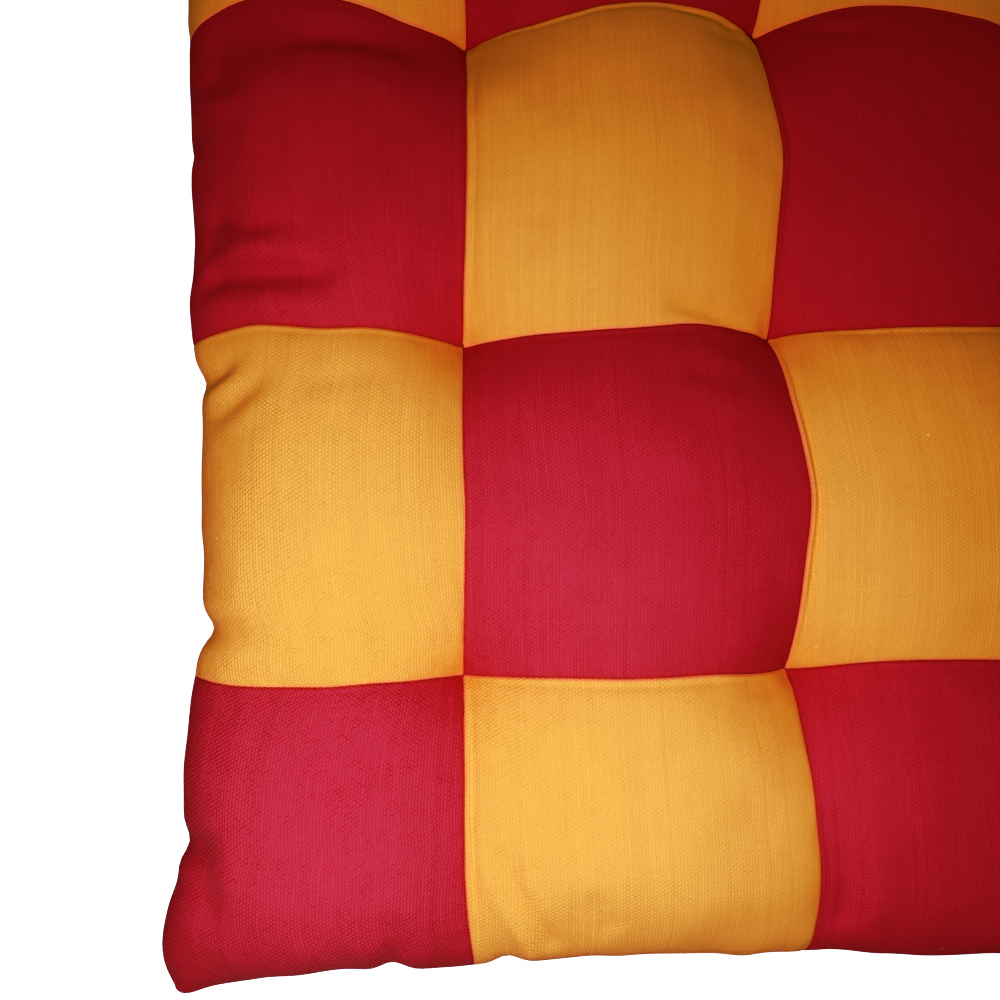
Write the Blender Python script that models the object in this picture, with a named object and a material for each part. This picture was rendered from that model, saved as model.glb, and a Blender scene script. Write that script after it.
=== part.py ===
"""Patchwork chair cushion: one filled solid with a crowned face of sixteen patches.

The cushion lies on its back. Four rows of four patches make its face, their seams are sewn
channels, and nine tufting stitches pull the face and the back together at the inner crossings.
Face and back meet in a seam all round, so the rim is a knife edge that draws in between its
corners and puckers here and there. +Z is up, the origin is on the floor under the middle of the
cushion, and lengths are in metres.
"""

import math
from collections import namedtuple

import bmesh
import bpy

# Driving dimensions
PATCHES = 4  # patches along each side
PITCH_X = 0.102  # between tufts, across the face
PITCH_Y = 0.106  # between tufts, up the face
HALF_X = 0.1945  # middle to rim before the rim is drawn in
HALF_Y = 0.1970
TUFT_FACE_Z = 0.032  # face at a tuft
TUFT_BACK_Z = 0.020  # back at a tuft
RIM_Z = 0.028  # rim seam above the floor
CORNER_DROP = 0.003  # how much lower the rim seam is at a corner
CORNER_POWER = 4  # how late on the way to a corner the rim seam drops
CORNER_ROUND = 0.0022  # how far a corner is pulled in
CORNER_REACH = 0.012  # how much of the rim that pull takes in

# Shape of the filling
BULGE_POWER = 2.3  # how flat a patch is on top, 2 being a parabola
CROWN_SHARE = 0.55  # how much of the two seams' rises a patch's crown leaves out
FACE_ROLL = 0.45  # share of a rim patch that rolls down to the rim, on the face
BACK_ROLL = 0.45  # the same on the back
ROLL_POWER = 0.5  # how round that roll is, 0.5 being an ellipse
BACK_RISE = 0.021  # how far the back bulges between its tufts before the floor presses on it
PRESS_BLEND = 0.004  # height over which the back curves onto the floor
SEAM_DEPTH = 0.001  # depth of the sewn line itself in its channel
SEAM_REACH = 0.004  # how far that line reaches to either side

STEPS = 12  # faces across a patch
WELD = 0.000001  # joins the rim points of face and back

RED = (0.53, 0.015, 0.035, 1.0)
YELLOW = (0.85, 0.38, 0.055, 1.0)
CLOTH_ROUGHNESS = 0.9

# How far each inner seam strays from its straight line, in millimetres, every quarter of a patch
# from one rim to the other. The tufts lie where the seams cross.
SeamStray = namedtuple("SeamStray", "seam shifts")
STRAYS_UP = (
    SeamStray(1, (0.5, -1.9, -2.1, -1.8, -1.4, -0.7, -0.7, -0.9, 0.1, 0.7, 1.6, 2.2, 2.8, 1.2, -0.4, 0.6, 1.0)),
    SeamStray(2, (0.3, 0.8, -0.6, -1.1, -0.6, -1.1, 0.7, -0.9, -0.6, -2.1, 0.2, -1.7, 0.0, 0.8, -0.7, -1.2, 0.3)),
    SeamStray(3, (0.6, -0.4, -1.2, -0.2, 1.2, 0.9, -0.6, -1.4, -0.7, 0.5, 1.6, 1.0, 0.8, -0.3, -1.0, 0.2, 0.5)),
)
STRAYS_ACROSS = (
    SeamStray(1, (2.0, -0.5, -1.0, -0.3, 0.0, -0.1, -1.1, -0.6, -0.5, 2.3, 2.4, 1.3, 0.6, -0.5, -1.1, 0.3, 0.9)),
    SeamStray(2, (0.6, 2.0, 0.3, 0.4, -0.3, -0.3, 0.5, 2.5, 1.7, 0.1, -0.3, 0.7, 0.3, -0.6, -1.2, 0.4, 1.0)),
    SeamStray(3, (-1.4, 1.6, 0.9, -1.3, -3.2, -3.1, 0.7, 2.4, 3.4, 4.3, 2.7, 0.4, -0.9, -1.3, 0.5, 1.2, -0.6)),
)

# Rise of each seam above its tufts, in millimetres, halfway along each patch
SeamRise = namedtuple("SeamRise", "seam rises")
SEAMS_UP = (
    SeamRise(0, (19.0, 20.0, 20.0, 19.0)),
    SeamRise(1, (17.5, 19.5, 21.0, 19.0)),
    SeamRise(2, (18.5, 24.0, 20.8, 18.0)),
    SeamRise(3, (18.0, 20.5, 22.0, 17.0)),
    SeamRise(4, (19.0, 20.0, 20.0, 19.0)),
)
SEAMS_ACROSS = (
    SeamRise(0, (18.0, 17.0, 18.0, 19.0)),
    SeamRise(1, (19.0, 18.5, 21.0, 20.0)),
    SeamRise(2, (19.5, 17.0, 19.5, 20.5)),
    SeamRise(3, (21.6, 19.7, 18.5, 19.0)),
    SeamRise(4, (19.0, 18.0, 19.0, 17.5)),
)

# How the rim seam wanders up and down, in millimetres, with its waves' turns in radians a patch
RimWave = namedtuple("RimWave", "height across up")
RIM_WAVES = (
    RimWave(1.2, 3.1, 2.3),
    RimWave(0.7, 5.3, -4.7),
)

# Where the rim draws in. Place and reach run along the side, depth is inwards, in millimetres.
RimDraw = namedtuple("RimDraw", "side place reach depth")
RIM_DRAWS = (
    RimDraw("left", -180, 8, -1.4),
    RimDraw("left", -58, 92, 7.0),
    RimDraw("left", -146, 22, 2.4),
    RimDraw("left", -86, 41, 4.1),
    RimDraw("left", -92, 6, 3.8),
    RimDraw("left", -12, 5, 2.2),
    RimDraw("left", 62, 48, 3.6),
    RimDraw("left", 63, 5, 1.0),
    RimDraw("left", 122, 26, 1.3),
    RimDraw("left", -154, 5, 2.6),
    RimDraw("left", -164, 5, 1.5),
    RimDraw("left", -22, 22, 2.3),
    RimDraw("left", 30, 11, 0.6),
    RimDraw("left", 145, 22, 1.2),
    RimDraw("bottom", -192, 9, -2.7),
    RimDraw("bottom", -61, 108, 5.1),
    RimDraw("bottom", -140, 10, 2.7),
    RimDraw("bottom", -126, 5, 2.9),
    RimDraw("bottom", -92, 5, 2.5),
    RimDraw("bottom", -159, 15, 2.2),
    RimDraw("bottom", -58, 6, -0.6),
    RimDraw("bottom", -19, 6, -1.1),
    RimDraw("bottom", 10, 11, 1.6),
    RimDraw("bottom", 60, 14, 0.5),
    RimDraw("bottom", 104, 8, 2.6),
    RimDraw("bottom", 118, 40, 1.6),
    RimDraw("bottom", 148, 9, 1.8),
    RimDraw("right", 20, 100, 6.0),
    RimDraw("right", -104, 10, 3.0),
    RimDraw("right", 4, 9, 2.6),
    RimDraw("right", 62, 8, 2.2),
    RimDraw("right", 128, 14, 2.8),
    RimDraw("top", 10, 105, 5.0),
    RimDraw("top", -108, 9, 2.8),
    RimDraw("top", -42, 8, 2.0),
    RimDraw("top", 58, 10, 3.0),
    RimDraw("top", 112, 9, 2.4),
)

# Soft folds in the face, in millimetres: from one end to the other, with the trough's half width
Fold = namedtuple("Fold", "x1 y1 x2 y2 reach depth")
FOLDS = (
    Fold(-183, -14, -170, -7, 4.0, 1.8),
    Fold(-181, -27, -157, -13, 4.5, 1.8),
    Fold(-183, 18, -150, 16, 5.0, 2.6),
    Fold(-150, 16, -137, 22, 5.0, 1.8),
    Fold(-152, 90, -110, 94, 6.0, 1.8),
    Fold(-40, 9, -8, 3, 4.5, 1.5),
    Fold(-32, 108, -8, 109, 4.0, 1.5),
    Fold(-92, -160, -80, -182, 5.0, 1.6),
    Fold(5, -150, 8, -178, 6.0, 1.6),
    Fold(176, -96, 150, -84, 6.0, 2.0),
    Fold(178, 8, 152, 20, 6.0, 2.0),
    Fold(60, 184, 54, 160, 6.0, 1.8),
    Fold(-108, 186, -112, 162, 6.0, 1.8),
    Fold(112, 184, 120, 156, 6.0, 2.0),
)

MM = 0.001


def clamped(value):
    """The value kept between 0 and 1."""
    return min(max(value, 0.0), 1.0)


def eased(share):
    """Spaces the grid lines of a patch closer at its seams, where the shape turns most."""
    return (1 - math.cos(math.pi * share)) / 2


def patch_of(place):
    """The patch that a grid coordinate lies in, and how far across that patch it is."""
    patch = min(int(place), PATCHES - 1)
    return patch, place - patch


def roll(share, width):
    """Rises from 0 at the rim to 1 at the given share of the patch."""
    return (1 - (1 - clamped(share / width)) ** 2) ** ROLL_POWER


def bulge(place, width):
    """Rise of the filling across a patch: 0 at its tufts, and rolling down to the rim."""
    patch, share = patch_of(place)
    rise = 1 - abs(2 * share - 1) ** BULGE_POWER
    if patch == 0 and share < 0.5:
        rise = roll(share, width)
    if patch == PATCHES - 1 and share > 0.5:
        rise = roll(1 - share, width)
    return rise


def rim_ease(place, width):
    """1 all over the cushion, and rolling down to 0 at the two rims that the coordinate crosses."""
    return roll(place, width) * roll(PATCHES - place, width)


def seam_rise(rows, along, across):
    """Rise in metres, blended between the two seams on either side of a point."""
    strip, share = patch_of(across)
    length, _ = patch_of(along)
    near = rows[strip].rises[length]
    far = rows[strip + 1].rises[length]
    return (near + (far - near) * share) * MM


def draw_in(side, along):
    """How far the rim of a side is drawn in at a place along it."""
    pull = 0.0
    for draw in RIM_DRAWS:
        if draw.side == side:
            pull += draw.depth * math.exp(-(((along / MM - draw.place) / draw.reach) ** 2))
    return pull * MM


def line_of(place, pitch, half):
    """Straight position of a grid coordinate before tufts and rim move it."""
    patch, share = patch_of(place)
    inner = (PATCHES / 2 - 1) * pitch
    if patch == 0:
        return -half + share * (half - inner)
    if patch == PATCHES - 1:
        return inner + share * (half - inner)
    return (place - PATCHES / 2) * pitch


def curve_at(shifts, place):
    """Reads a row of shifts at a place along it, in patches, on a smooth curve through them."""
    last = len(shifts) - 1
    spot = clamped(place / PATCHES) * last
    cell = min(int(spot), last - 1)
    t = spot - cell
    before = shifts[max(cell - 1, 0)]
    near, far = shifts[cell], shifts[cell + 1]
    after = shifts[min(cell + 2, last)]
    bend = 2 * before - 5 * near + 4 * far - after
    twist = 3 * (near - far) + after - before
    return near + 0.5 * t * (far - before + t * (bend + t * twist))


def stray(rows, across, along):
    """Shift in metres at a point, which falls off in a straight line from each seam to the next."""
    shift = 0.0
    for row in rows:
        weight = max(0.0, 1 - abs(across - row.seam))
        if weight > 0:
            shift += weight * curve_at(row.shifts, along)
    return shift * MM


def plan(u, v):
    """Place of a grid point seen from above."""
    x = line_of(u, PITCH_X, HALF_X)
    y = line_of(v, PITCH_Y, HALF_Y)
    left = draw_in("left", y) * max(0.0, 1 - u) ** 2
    right = draw_in("right", y) * max(0.0, u - (PATCHES - 1)) ** 2
    bottom = draw_in("bottom", x) * max(0.0, 1 - v) ** 2
    top = draw_in("top", x) * max(0.0, v - (PATCHES - 1)) ** 2
    x += stray(STRAYS_UP, u, v) + left - right
    y += stray(STRAYS_ACROSS, v, u) + bottom - top
    to_corner = math.hypot(HALF_X - abs(x), HALF_Y - abs(y))
    pull = CORNER_ROUND * clamped(1 - to_corner / CORNER_REACH) ** 2
    x -= math.copysign(pull, x)
    y -= math.copysign(pull, y)
    return x, y


def rim_height(u, v):
    """Height of the rim seam, which wanders a little and is lower towards the corners."""
    along = min(abs(u - PATCHES / 2), abs(v - PATCHES / 2)) / (PATCHES / 2)
    height = RIM_Z - CORNER_DROP * along**CORNER_POWER
    for wave in RIM_WAVES:
        height += wave.height * MM * math.sin(wave.across * u + wave.up * v)
    return height


def base_height(u, v, tuft_z):
    """Height that the filling rises from: the rim's at the rim and the tufts' inside it."""
    inside = clamped(u) * clamped(v) * clamped(PATCHES - u) * clamped(PATCHES - v)
    rim = rim_height(u, v)
    return rim + (tuft_z - rim) * inside


def fold_depth(x, y):
    """Depth of the soft folds at a point of the face."""
    depth = 0.0
    for fold in FOLDS:
        run_x = fold.x2 - fold.x1
        run_y = fold.y2 - fold.y1
        from_x = x / MM - fold.x1
        from_y = y / MM - fold.y1
        share = clamped((from_x * run_x + from_y * run_y) / (run_x**2 + run_y**2))
        away = math.hypot(from_x - share * run_x, from_y - share * run_y)
        depth += fold.depth * math.exp(-((away / fold.reach) ** 2))
    return depth * MM


def seam_line(u, v):
    """Depth of the sewn line at a point of the face, for the inner seams."""
    depth = 0.0
    for place, pitch in ((u, PITCH_X), (v, PITCH_Y)):
        if 0.5 < place < PATCHES - 0.5:
            away = abs(place - round(place)) * pitch
            depth = max(depth, SEAM_DEPTH * math.exp(-((away / SEAM_REACH) ** 2)))
    return depth


def face_height(u, v):
    """Height of the face: crowned patches with sewn channels between them."""
    across = bulge(u, FACE_ROLL)
    up = bulge(v, FACE_ROLL)
    rise_up = seam_rise(SEAMS_UP, v, u)
    rise_across = seam_rise(SEAMS_ACROSS, u, v)
    rise = rise_up * up * rim_ease(u, FACE_ROLL)
    rise += rise_across * across * rim_ease(v, FACE_ROLL)
    rise -= CROWN_SHARE * (rise_up + rise_across) / 2 * across * up
    edge = rim_ease(u, FACE_ROLL) * rim_ease(v, FACE_ROLL)
    x, y = plan(u, v)
    return base_height(u, v, TUFT_FACE_Z) + rise - edge * (fold_depth(x, y) + seam_line(u, v))


def back_height(u, v):
    """Height of the back: it bulges down between the tufts and is pressed flat on the floor."""
    across = bulge(u, BACK_ROLL)
    up = bulge(v, BACK_ROLL)
    drop = up * rim_ease(u, BACK_ROLL) + across * rim_ease(v, BACK_ROLL) - CROWN_SHARE * across * up
    height = base_height(u, v, TUFT_BACK_Z) - BACK_RISE * drop
    if height <= -PRESS_BLEND:
        return 0.0
    if height < PRESS_BLEND:
        return (height + PRESS_BLEND) ** 2 / (4 * PRESS_BLEND)
    return height


def on_rim(u, v):
    """Whether a grid point lies on the rim seam."""
    return min(u, v) < WELD or max(u, v) > PATCHES - WELD


def add_side(mesh, heights):
    """Adds one square grid of the cushion and shapes it. Returns its vertices and faces."""
    half = PATCHES / 2
    known = set(mesh.faces)
    segments = PATCHES * STEPS
    made = bmesh.ops.create_grid(mesh, x_segments=segments, y_segments=segments, size=half)
    faces = [face for face in mesh.faces if face not in known]
    for face in faces:
        middle = face.calc_center_median()
        face.material_index = (int(middle.x + half) + int(middle.y + half)) % 2
    for vertex in made["verts"]:
        column, share_x = patch_of(vertex.co.x + half)
        row, share_y = patch_of(vertex.co.y + half)
        u = column + eased(clamped(share_x))
        v = row + eased(clamped(share_y))
        x, y = plan(u, v)
        vertex.co = (x, y, rim_height(u, v) if on_rim(u, v) else heights(u, v))
    return made["verts"], faces


def centre(mesh):
    """Moves the mesh so that the middle of its box is over the origin."""
    for axis in (0, 1):
        places = [vertex.co[axis] for vertex in mesh.verts]
        middle = (min(places) + max(places)) / 2
        for vertex in mesh.verts:
            vertex.co[axis] -= middle


def cloth(name, colour):
    """A plain cotton of one colour."""
    material = bpy.data.materials.new(name)
    material.use_nodes = True
    shader = material.node_tree.nodes["Principled BSDF"]
    shader.inputs["Base Color"].default_value = colour
    shader.inputs["Roughness"].default_value = CLOTH_ROUGHNESS
    shader.inputs["Metallic"].default_value = 0.0
    return material


def build_cushion(collection):
    """The filled cushion: face and back grids joined along the rim seam."""
    mesh = bmesh.new()
    add_side(mesh, face_height)
    _, back_faces = add_side(mesh, back_height)
    for face in back_faces:
        face.material_index = 0
    bmesh.ops.reverse_faces(mesh, faces=back_faces)
    rim = [vertex for vertex in mesh.verts if vertex.is_boundary]
    bmesh.ops.remove_doubles(mesh, verts=rim, dist=WELD)
    centre(mesh)
    data = bpy.data.meshes.new("cushion")
    mesh.to_mesh(data)
    mesh.free()
    data.materials.append(cloth("red_cotton", RED))
    data.materials.append(cloth("yellow_cotton", YELLOW))
    data.shade_smooth()
    cushion = bpy.data.objects.new("cushion", data)
    collection.objects.link(cushion)
    return cushion


def main():
    """Clears the scene and builds the cushion in a collection of its own."""
    for obj in list(bpy.data.objects):
        bpy.data.objects.remove(obj)
    collection = bpy.data.collections.new("chair_cushion")
    bpy.context.scene.collection.children.link(collection)
    build_cushion(collection)


main()
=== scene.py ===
"""Looks of a square patchwork chair cushion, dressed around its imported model.

Sixteen patches of red and yellow cotton make the face. Each is a piece of cloth of its own, with its
edges turned down into the seams, and one plain square of cotton makes the back. The cover is blown
up by a cloth simulation from the form that the solid has, then it gets its seams, creases and tufting
stitches. Lengths are in metres unless a name or comment says millimetres. +Z is up.
"""

import logging
import math
from dataclasses import dataclass, field
from enum import Enum
from typing import Optional, Sequence

import bpy
import numpy as np
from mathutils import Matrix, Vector


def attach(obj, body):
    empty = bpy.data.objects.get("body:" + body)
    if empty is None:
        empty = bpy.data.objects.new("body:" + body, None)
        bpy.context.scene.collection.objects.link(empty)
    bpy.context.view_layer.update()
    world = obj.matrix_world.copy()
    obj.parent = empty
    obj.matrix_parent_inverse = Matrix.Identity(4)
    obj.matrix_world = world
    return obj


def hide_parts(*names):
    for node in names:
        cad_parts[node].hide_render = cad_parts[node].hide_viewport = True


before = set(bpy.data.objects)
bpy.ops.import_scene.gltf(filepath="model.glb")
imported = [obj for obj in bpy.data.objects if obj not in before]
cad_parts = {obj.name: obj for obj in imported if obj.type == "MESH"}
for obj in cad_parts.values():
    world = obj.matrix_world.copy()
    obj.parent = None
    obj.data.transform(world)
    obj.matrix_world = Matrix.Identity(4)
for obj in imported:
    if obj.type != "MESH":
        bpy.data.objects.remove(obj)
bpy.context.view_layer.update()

LOG = logging.getLogger("cushion")
MM = 0.001
PATCHES = 4  # patches along each side
NODE = "cushion"
BODY = "root"
LAYOUT = "OFBake"  # name of the bake layout

Lines = np.ndarray
Pair = tuple[float, float]
Crossing = tuple[int, int]


class Side(Enum):
    """The two cloths of the cover."""

    FACE = "face"
    BACK = "back"


class Edge(Enum):
    """The four edges of the cushion or of one patch."""

    LEFT = "left"
    RIGHT = "right"
    BOTTOM = "bottom"
    TOP = "top"


class Cotton(Enum):
    """The two cottons, named as their material slots are."""

    RED = "red_cotton"
    YELLOW = "yellow_cotton"


def clamped(value: np.ndarray) -> np.ndarray:
    """The values kept between 0 and 1."""
    return np.clip(value, 0.0, 1.0)


def smooth(value: np.ndarray) -> np.ndarray:
    """Eases values from 0 to 1 with a level start and end."""
    share = clamped(value)
    return share * share * (3 - 2 * share)


def hump(away: np.ndarray, reach: float) -> np.ndarray:
    """A bell of height 1 that falls off over its reach."""
    return np.exp(-((away / reach) ** 2))


def unit(vectors: np.ndarray) -> np.ndarray:
    """The vectors at length 1."""
    length = np.linalg.norm(vectors, axis=-1, keepdims=True)
    return vectors / np.maximum(length, 1e-9)


def curve_parts(t: np.ndarray) -> tuple[np.ndarray, ...]:
    """How much four points in a row give to the curve between the middle two."""
    return (
        -0.5 * t + t**2 - 0.5 * t**3,
        1 - 2.5 * t**2 + 1.5 * t**3,
        0.5 * t + 2 * t**2 - 1.5 * t**3,
        -0.5 * t**2 + 0.5 * t**3,
    )


def placed(name: str, data: bpy.types.ID) -> bpy.types.Object:
    """Adds an object to the scene.

    Args:
        name: Its name.
        data: Its mesh, light or camera.

    Returns:
        The new object.
    """
    thing = bpy.data.objects.new(name, data)
    bpy.context.scene.collection.objects.link(thing)
    return thing


class Field:
    """Values on an even grid over the whole cushion, read between its points on smooth curves."""

    def __init__(self, values: np.ndarray) -> None:
        """Keeps the values, as an array of columns, rows and parts."""
        self.values = values

    @staticmethod
    def noise(seed: int, cells: int, parts: int, size: float) -> "Field":
        """Makes a field of random values.

        Args:
            seed: Start of the random draws.
            cells: Grid cells along each side of the cushion.
            parts: Values at each point.
            size: Spread of the values.

        Returns:
            The field.
        """
        draws = np.random.RandomState(seed).normal(0.0, size, (cells + 1, cells + 1, parts))
        return Field(draws)

    @staticmethod
    def weights(lines: Lines, count: int) -> np.ndarray:
        """Finds how much each grid point gives to each line.

        Args:
            lines: Places in patches from the left or bottom edge.
            count: Grid points along that way.

        Returns:
            One row of weights for each line.
        """
        place = clamped(lines / PATCHES) * (count - 1)
        cell = np.minimum(place.astype(int), count - 2)
        table = np.zeros((len(lines), count))
        rows = np.arange(len(lines))
        for step, part in enumerate(curve_parts(place - cell)):
            np.add.at(table, (rows, np.clip(cell + step - 1, 0, count - 1)), part)
        return table

    def at(self, across: Lines, up: Lines) -> np.ndarray:
        """Reads the field where lines across and lines up the cushion cross."""
        from_left = self.weights(across, self.values.shape[0])
        from_bottom = self.weights(up, self.values.shape[1])
        return np.einsum("ia,abk,jb->ijk", from_left, self.values, from_bottom, optimize=True)


@dataclass(frozen=True)
class Crease:
    """A soft fold: a trough along some points, with a low bank on one or both sides of it.

    Lengths are in millimetres. Left is the side to the left of someone who walks along the points.
    """

    points: tuple[Pair, ...]
    reach: float
    depth: float
    left: float = 0.0
    right: float = 0.0
    fade_in: float = 0.3
    fade_out: float = 0.45
    bank_place: float = 1.9  # how far a bank lies from the trough, in reaches

    def relief(self, x: np.ndarray, y: np.ndarray) -> np.ndarray:
        """Finds the height that the fold adds.

        Args:
            x: Places across the face, in millimetres.
            y: Places up the face, in millimetres.

        Returns:
            Heights in millimetres, below zero in the trough.
        """
        near = np.full(x.shape, np.inf)
        turn = np.zeros(x.shape)
        along = np.zeros(x.shape)
        walked = 0.0
        for (start_x, start_y), (end_x, end_y) in zip(self.points, self.points[1:]):
            run_x = end_x - start_x
            run_y = end_y - start_y
            length = math.hypot(run_x, run_y)
            share = clamped(((x - start_x) * run_x + (y - start_y) * run_y) / length**2)
            away = np.hypot(x - start_x - share * run_x, y - start_y - share * run_y)
            nearer = away < near
            turn = np.where(nearer, run_x * (y - start_y) - run_y * (x - start_x), turn)
            along = np.where(nearer, walked + share * length, along)
            near = np.where(nearer, away, near)
            walked += length
        share = along / walked
        swell = smooth(share / self.fade_in) * smooth((1 - share) / self.fade_out)
        bank = hump(near - self.bank_place * self.reach, self.reach)
        bank = np.where(turn > 0, self.left, self.right) * bank
        return swell * (bank - self.depth * hump(near, self.reach))


def rim_creases(fade_in: float, rows: Sequence[tuple]) -> tuple[Crease, ...]:
    """Creases that start at the rim: points, reach, depth, left bank and right bank of each."""
    return tuple(Crease(*row, fade_in=fade_in) for row in rows)


TUFTS = tuple((column, row) for row in range(1, PATCHES) for column in range(1, PATCHES))

# How far each inner seam strays from its straight line, in millimetres, every quarter of a patch
STRAYS_UP = (
    (0.5, -1.9, -2.1, -1.8, -1.4, -0.7, -0.7, -0.9, 0.1, 0.7, 1.6, 2.2, 2.8, 1.2, -0.4, 0.6, 1.0),
    (0.3, 0.8, -0.6, -1.1, -0.6, -1.1, 0.7, -0.9, -0.6, -2.1, 0.2, -1.7, 0.0, 0.8, -0.7, -1.2, 0.3),
    (0.6, -0.4, -1.2, -0.2, 1.2, 0.9, -0.6, -1.4, -0.7, 0.5, 1.6, 1.0, 0.8, -0.3, -1.0, 0.2, 0.5),
)
STRAYS_ACROSS = (
    (2.0, -0.5, -1.0, -0.3, 0.0, -0.1, -1.1, -0.6, -0.5, 2.3, 2.4, 1.3, 0.6, -0.5, -1.1, 0.3, 0.9),
    (0.6, 2.0, 0.3, 0.4, -0.3, -0.3, 0.5, 2.5, 1.7, 0.1, -0.3, 0.7, 0.3, -0.6, -1.2, 0.4, 1.0),
    (-1.4, 1.6, 0.9, -1.3, -3.2, -3.1, 0.7, 2.4, 3.4, 4.3, 2.7, 0.4, -0.9, -1.3, 0.5, 1.2, -0.6),
)

# Rise of each seam above its tufts in millimetres, one row for each seam and one value for each patch
SEAMS_UP = (
    (19.0, 20.0, 20.0, 19.0),
    (17.5, 19.5, 21.0, 19.0),
    (18.5, 24.0, 20.8, 18.0),
    (18.0, 20.5, 22.0, 17.0),
    (19.0, 20.0, 20.0, 19.0),
)
SEAMS_ACROSS = (
    (18.0, 17.0, 18.0, 19.0),
    (19.0, 18.5, 21.0, 20.0),
    (19.5, 17.0, 19.5, 20.5),
    (21.6, 19.7, 18.5, 19.0),
    (19.0, 18.0, 19.0, 17.5),
)

# Height in millimetres, and turns in radians a patch, of the waves of the rim seam
RIM_WAVES = ((1.2, 3.1, 2.3), (0.7, 5.3, -4.7))

# Where each edge's rim draws in: place and reach along the edge, and depth, in millimetres
RIM_DRAWS = {
    Edge.LEFT: (
        (-180, 8, -1.4), (-58, 92, 7.0), (-146, 22, 2.4), (-86, 41, 4.1), (-92, 6, 3.8),
        (-12, 5, 2.2), (62, 48, 3.6), (63, 5, 1.0), (122, 26, 1.3), (-154, 5, 2.6),
        (-164, 5, 1.5), (-22, 22, 2.3), (30, 11, 0.6), (145, 22, 1.2),
    ),
    Edge.BOTTOM: (
        (-192, 9, -2.7), (-61, 108, 5.1), (-140, 10, 2.7), (-126, 5, 2.9), (-92, 5, 2.5),
        (-159, 15, 2.2), (-58, 6, -0.6), (-19, 6, -1.1), (10, 11, 1.6), (60, 14, 0.5),
        (104, 8, 2.6), (118, 40, 1.6), (148, 9, 1.8),
    ),
    Edge.RIGHT: ((20, 100, 6.0), (-104, 10, 3.0), (4, 9, 2.6), (62, 8, 2.2), (128, 14, 2.8)),
    Edge.TOP: ((10, 105, 5.0), (-108, 9, 2.8), (-42, 8, 2.0), (58, 10, 3.0), (112, 9, 2.4)),
}

# How strongly the pressed seam allowances show to the right of each seam that runs up, and below
# each one that runs across, for each patch along it
STRIPS_UP = (
    (1.7, 0.4, 1.4, 0.5),
    (0.7, 2.8, 1.7, 0.6),
    (0.9, 0.7, 1.4, 0.6),
)
STRIPS_ACROSS = (
    (0.3, 0.9, 0.5, 0.7),
    (0.4, 0.4, 0.6, 0.5),
    (0.4, 0.9, 0.5, 0.6),
)

# How clearly the weave stands out at each corner of the patches, one row for each seam across: it scales
# the weave's bump, its odd threads and how dark the painted shade in its gaps is, largest towards the
# lower left and smallest at the top
CLARITY = (
    (1.0, 1.2, 0.6, 0.6, 0.8),
    (1.65, 1.35, 0.75, 0.7, 0.8),
    (1.1, 0.75, 0.6, 0.6, 0.8),
    (0.12, 0.5, 0.25, 0.3, 0.7),
    (0.2, 0.3, 0.25, 0.5, 0.8),
)

# Creases that the photograph shows
SEEN_CREASES = (
    Crease(((-160, 94), (-142, 93.5), (-126, 93.5), (-106, 98)), 4.6, 1.4, 0.4, 0.5, fade_out=0.7),
    Crease(((-186, 91), (-150, 93), (-104, 96)), 13.0, 3.6, fade_in=0.1, fade_out=0.2),
    Crease(((-88, -179), (-45, -180), (-4, -181)), 13.0, 1.6, fade_in=0.2, fade_out=0.2),
    Crease(((-185, 84), (-177, 79), (-167, 72)), 4.0, 1.1, right=0.4, fade_in=0.2),
    Crease(((-184, 37), (-166, 31), (-149, 30)), 3.4, 2.6, right=0.8, fade_in=0.2),
    Crease(((-184, 29), (-170, 26)), 3.0, 2.0, fade_in=0.2),
    Crease(((-185, 18), (-160, 16.5), (-145, 15.5), (-136, 23)), 3.8, 4.2, 0.5, 1.2, fade_in=0.15),
    Crease(((-182, 46), (-180, 28), (-183, 10)), 7.0, 1.6),
    Crease(((-119, 21), (-108, 10)), 3.6, 0.9),
    Crease(((-43, 9), (-27, 7), (-17, 5), (-5, 3)), 2.4, 1.9, right=0.6),
    Crease(((-93, 34), (-66, 34)), 2.8, 0.35),
    Crease(((-83, 10), (-72, 16)), 3.2, 0.5),
    Crease(((-183, -28), (-175, -23), (-165, -17), (-156, -12)), 3.6, 1.5, 0.3, 0.5),
    Crease(((-185, -14.5), (-178, -11.5), (-170, -7)), 2.8, 1.5, right=0.6, fade_in=0.2),
    Crease(((-178, -36), (-176, -60), (-178, -86)), 10.0, 0.6),
    Crease(((-156, -19), (-139, -16), (-123, -12)), 4.0, 0.6),
    Crease(((-39, -10), (-24, -16), (-9, -21)), 4.4, 0.9, right=0.3),
    Crease(((-152, -138), (-128, -128), (-105, -119)), 4.6, 1.2, right=0.4),
    Crease(((-95, -152), (-90, -166), (-83, -178), (-78, -187)), 2.7, 1.9, right=1.3, fade_out=0.1),
    Crease(((-70, -166), (-60, -180)), 4.4, 0.9, fade_out=0.15),
    Crease(((3, -142), (6, -156), (8, -166), (8, -184)), 4.4, 2.2, left=0.4, fade_out=0.15),
    Crease(((-21, -112), (-11, -111), (-3, -109)), 2.0, 0.6, right=0.3),
    Crease(((-36, 106.4), (-22, 106.7), (-12, 107.2), (-4, 108.4)), 1.4, 1.2, 0.4, fade_out=0.25),
    Crease(((-24, 97), (-14, 101), (-5, 106)), 5.0, 1.2, fade_in=0.4, fade_out=0.2),
    Crease(((-184, -88), (-170, -90), (-160, -94)), 3.6, 1.0, 0.3, 0.4, fade_in=0.2),
    Crease(((-182, -144), (-179, -160), (-175, -180)), 6.0, 2.0, fade_in=0.2),
    Crease(((-124, -188), (-122, -178), (-126, -166)), 3.2, 1.0, right=0.4, fade_in=0.2),
)

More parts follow.
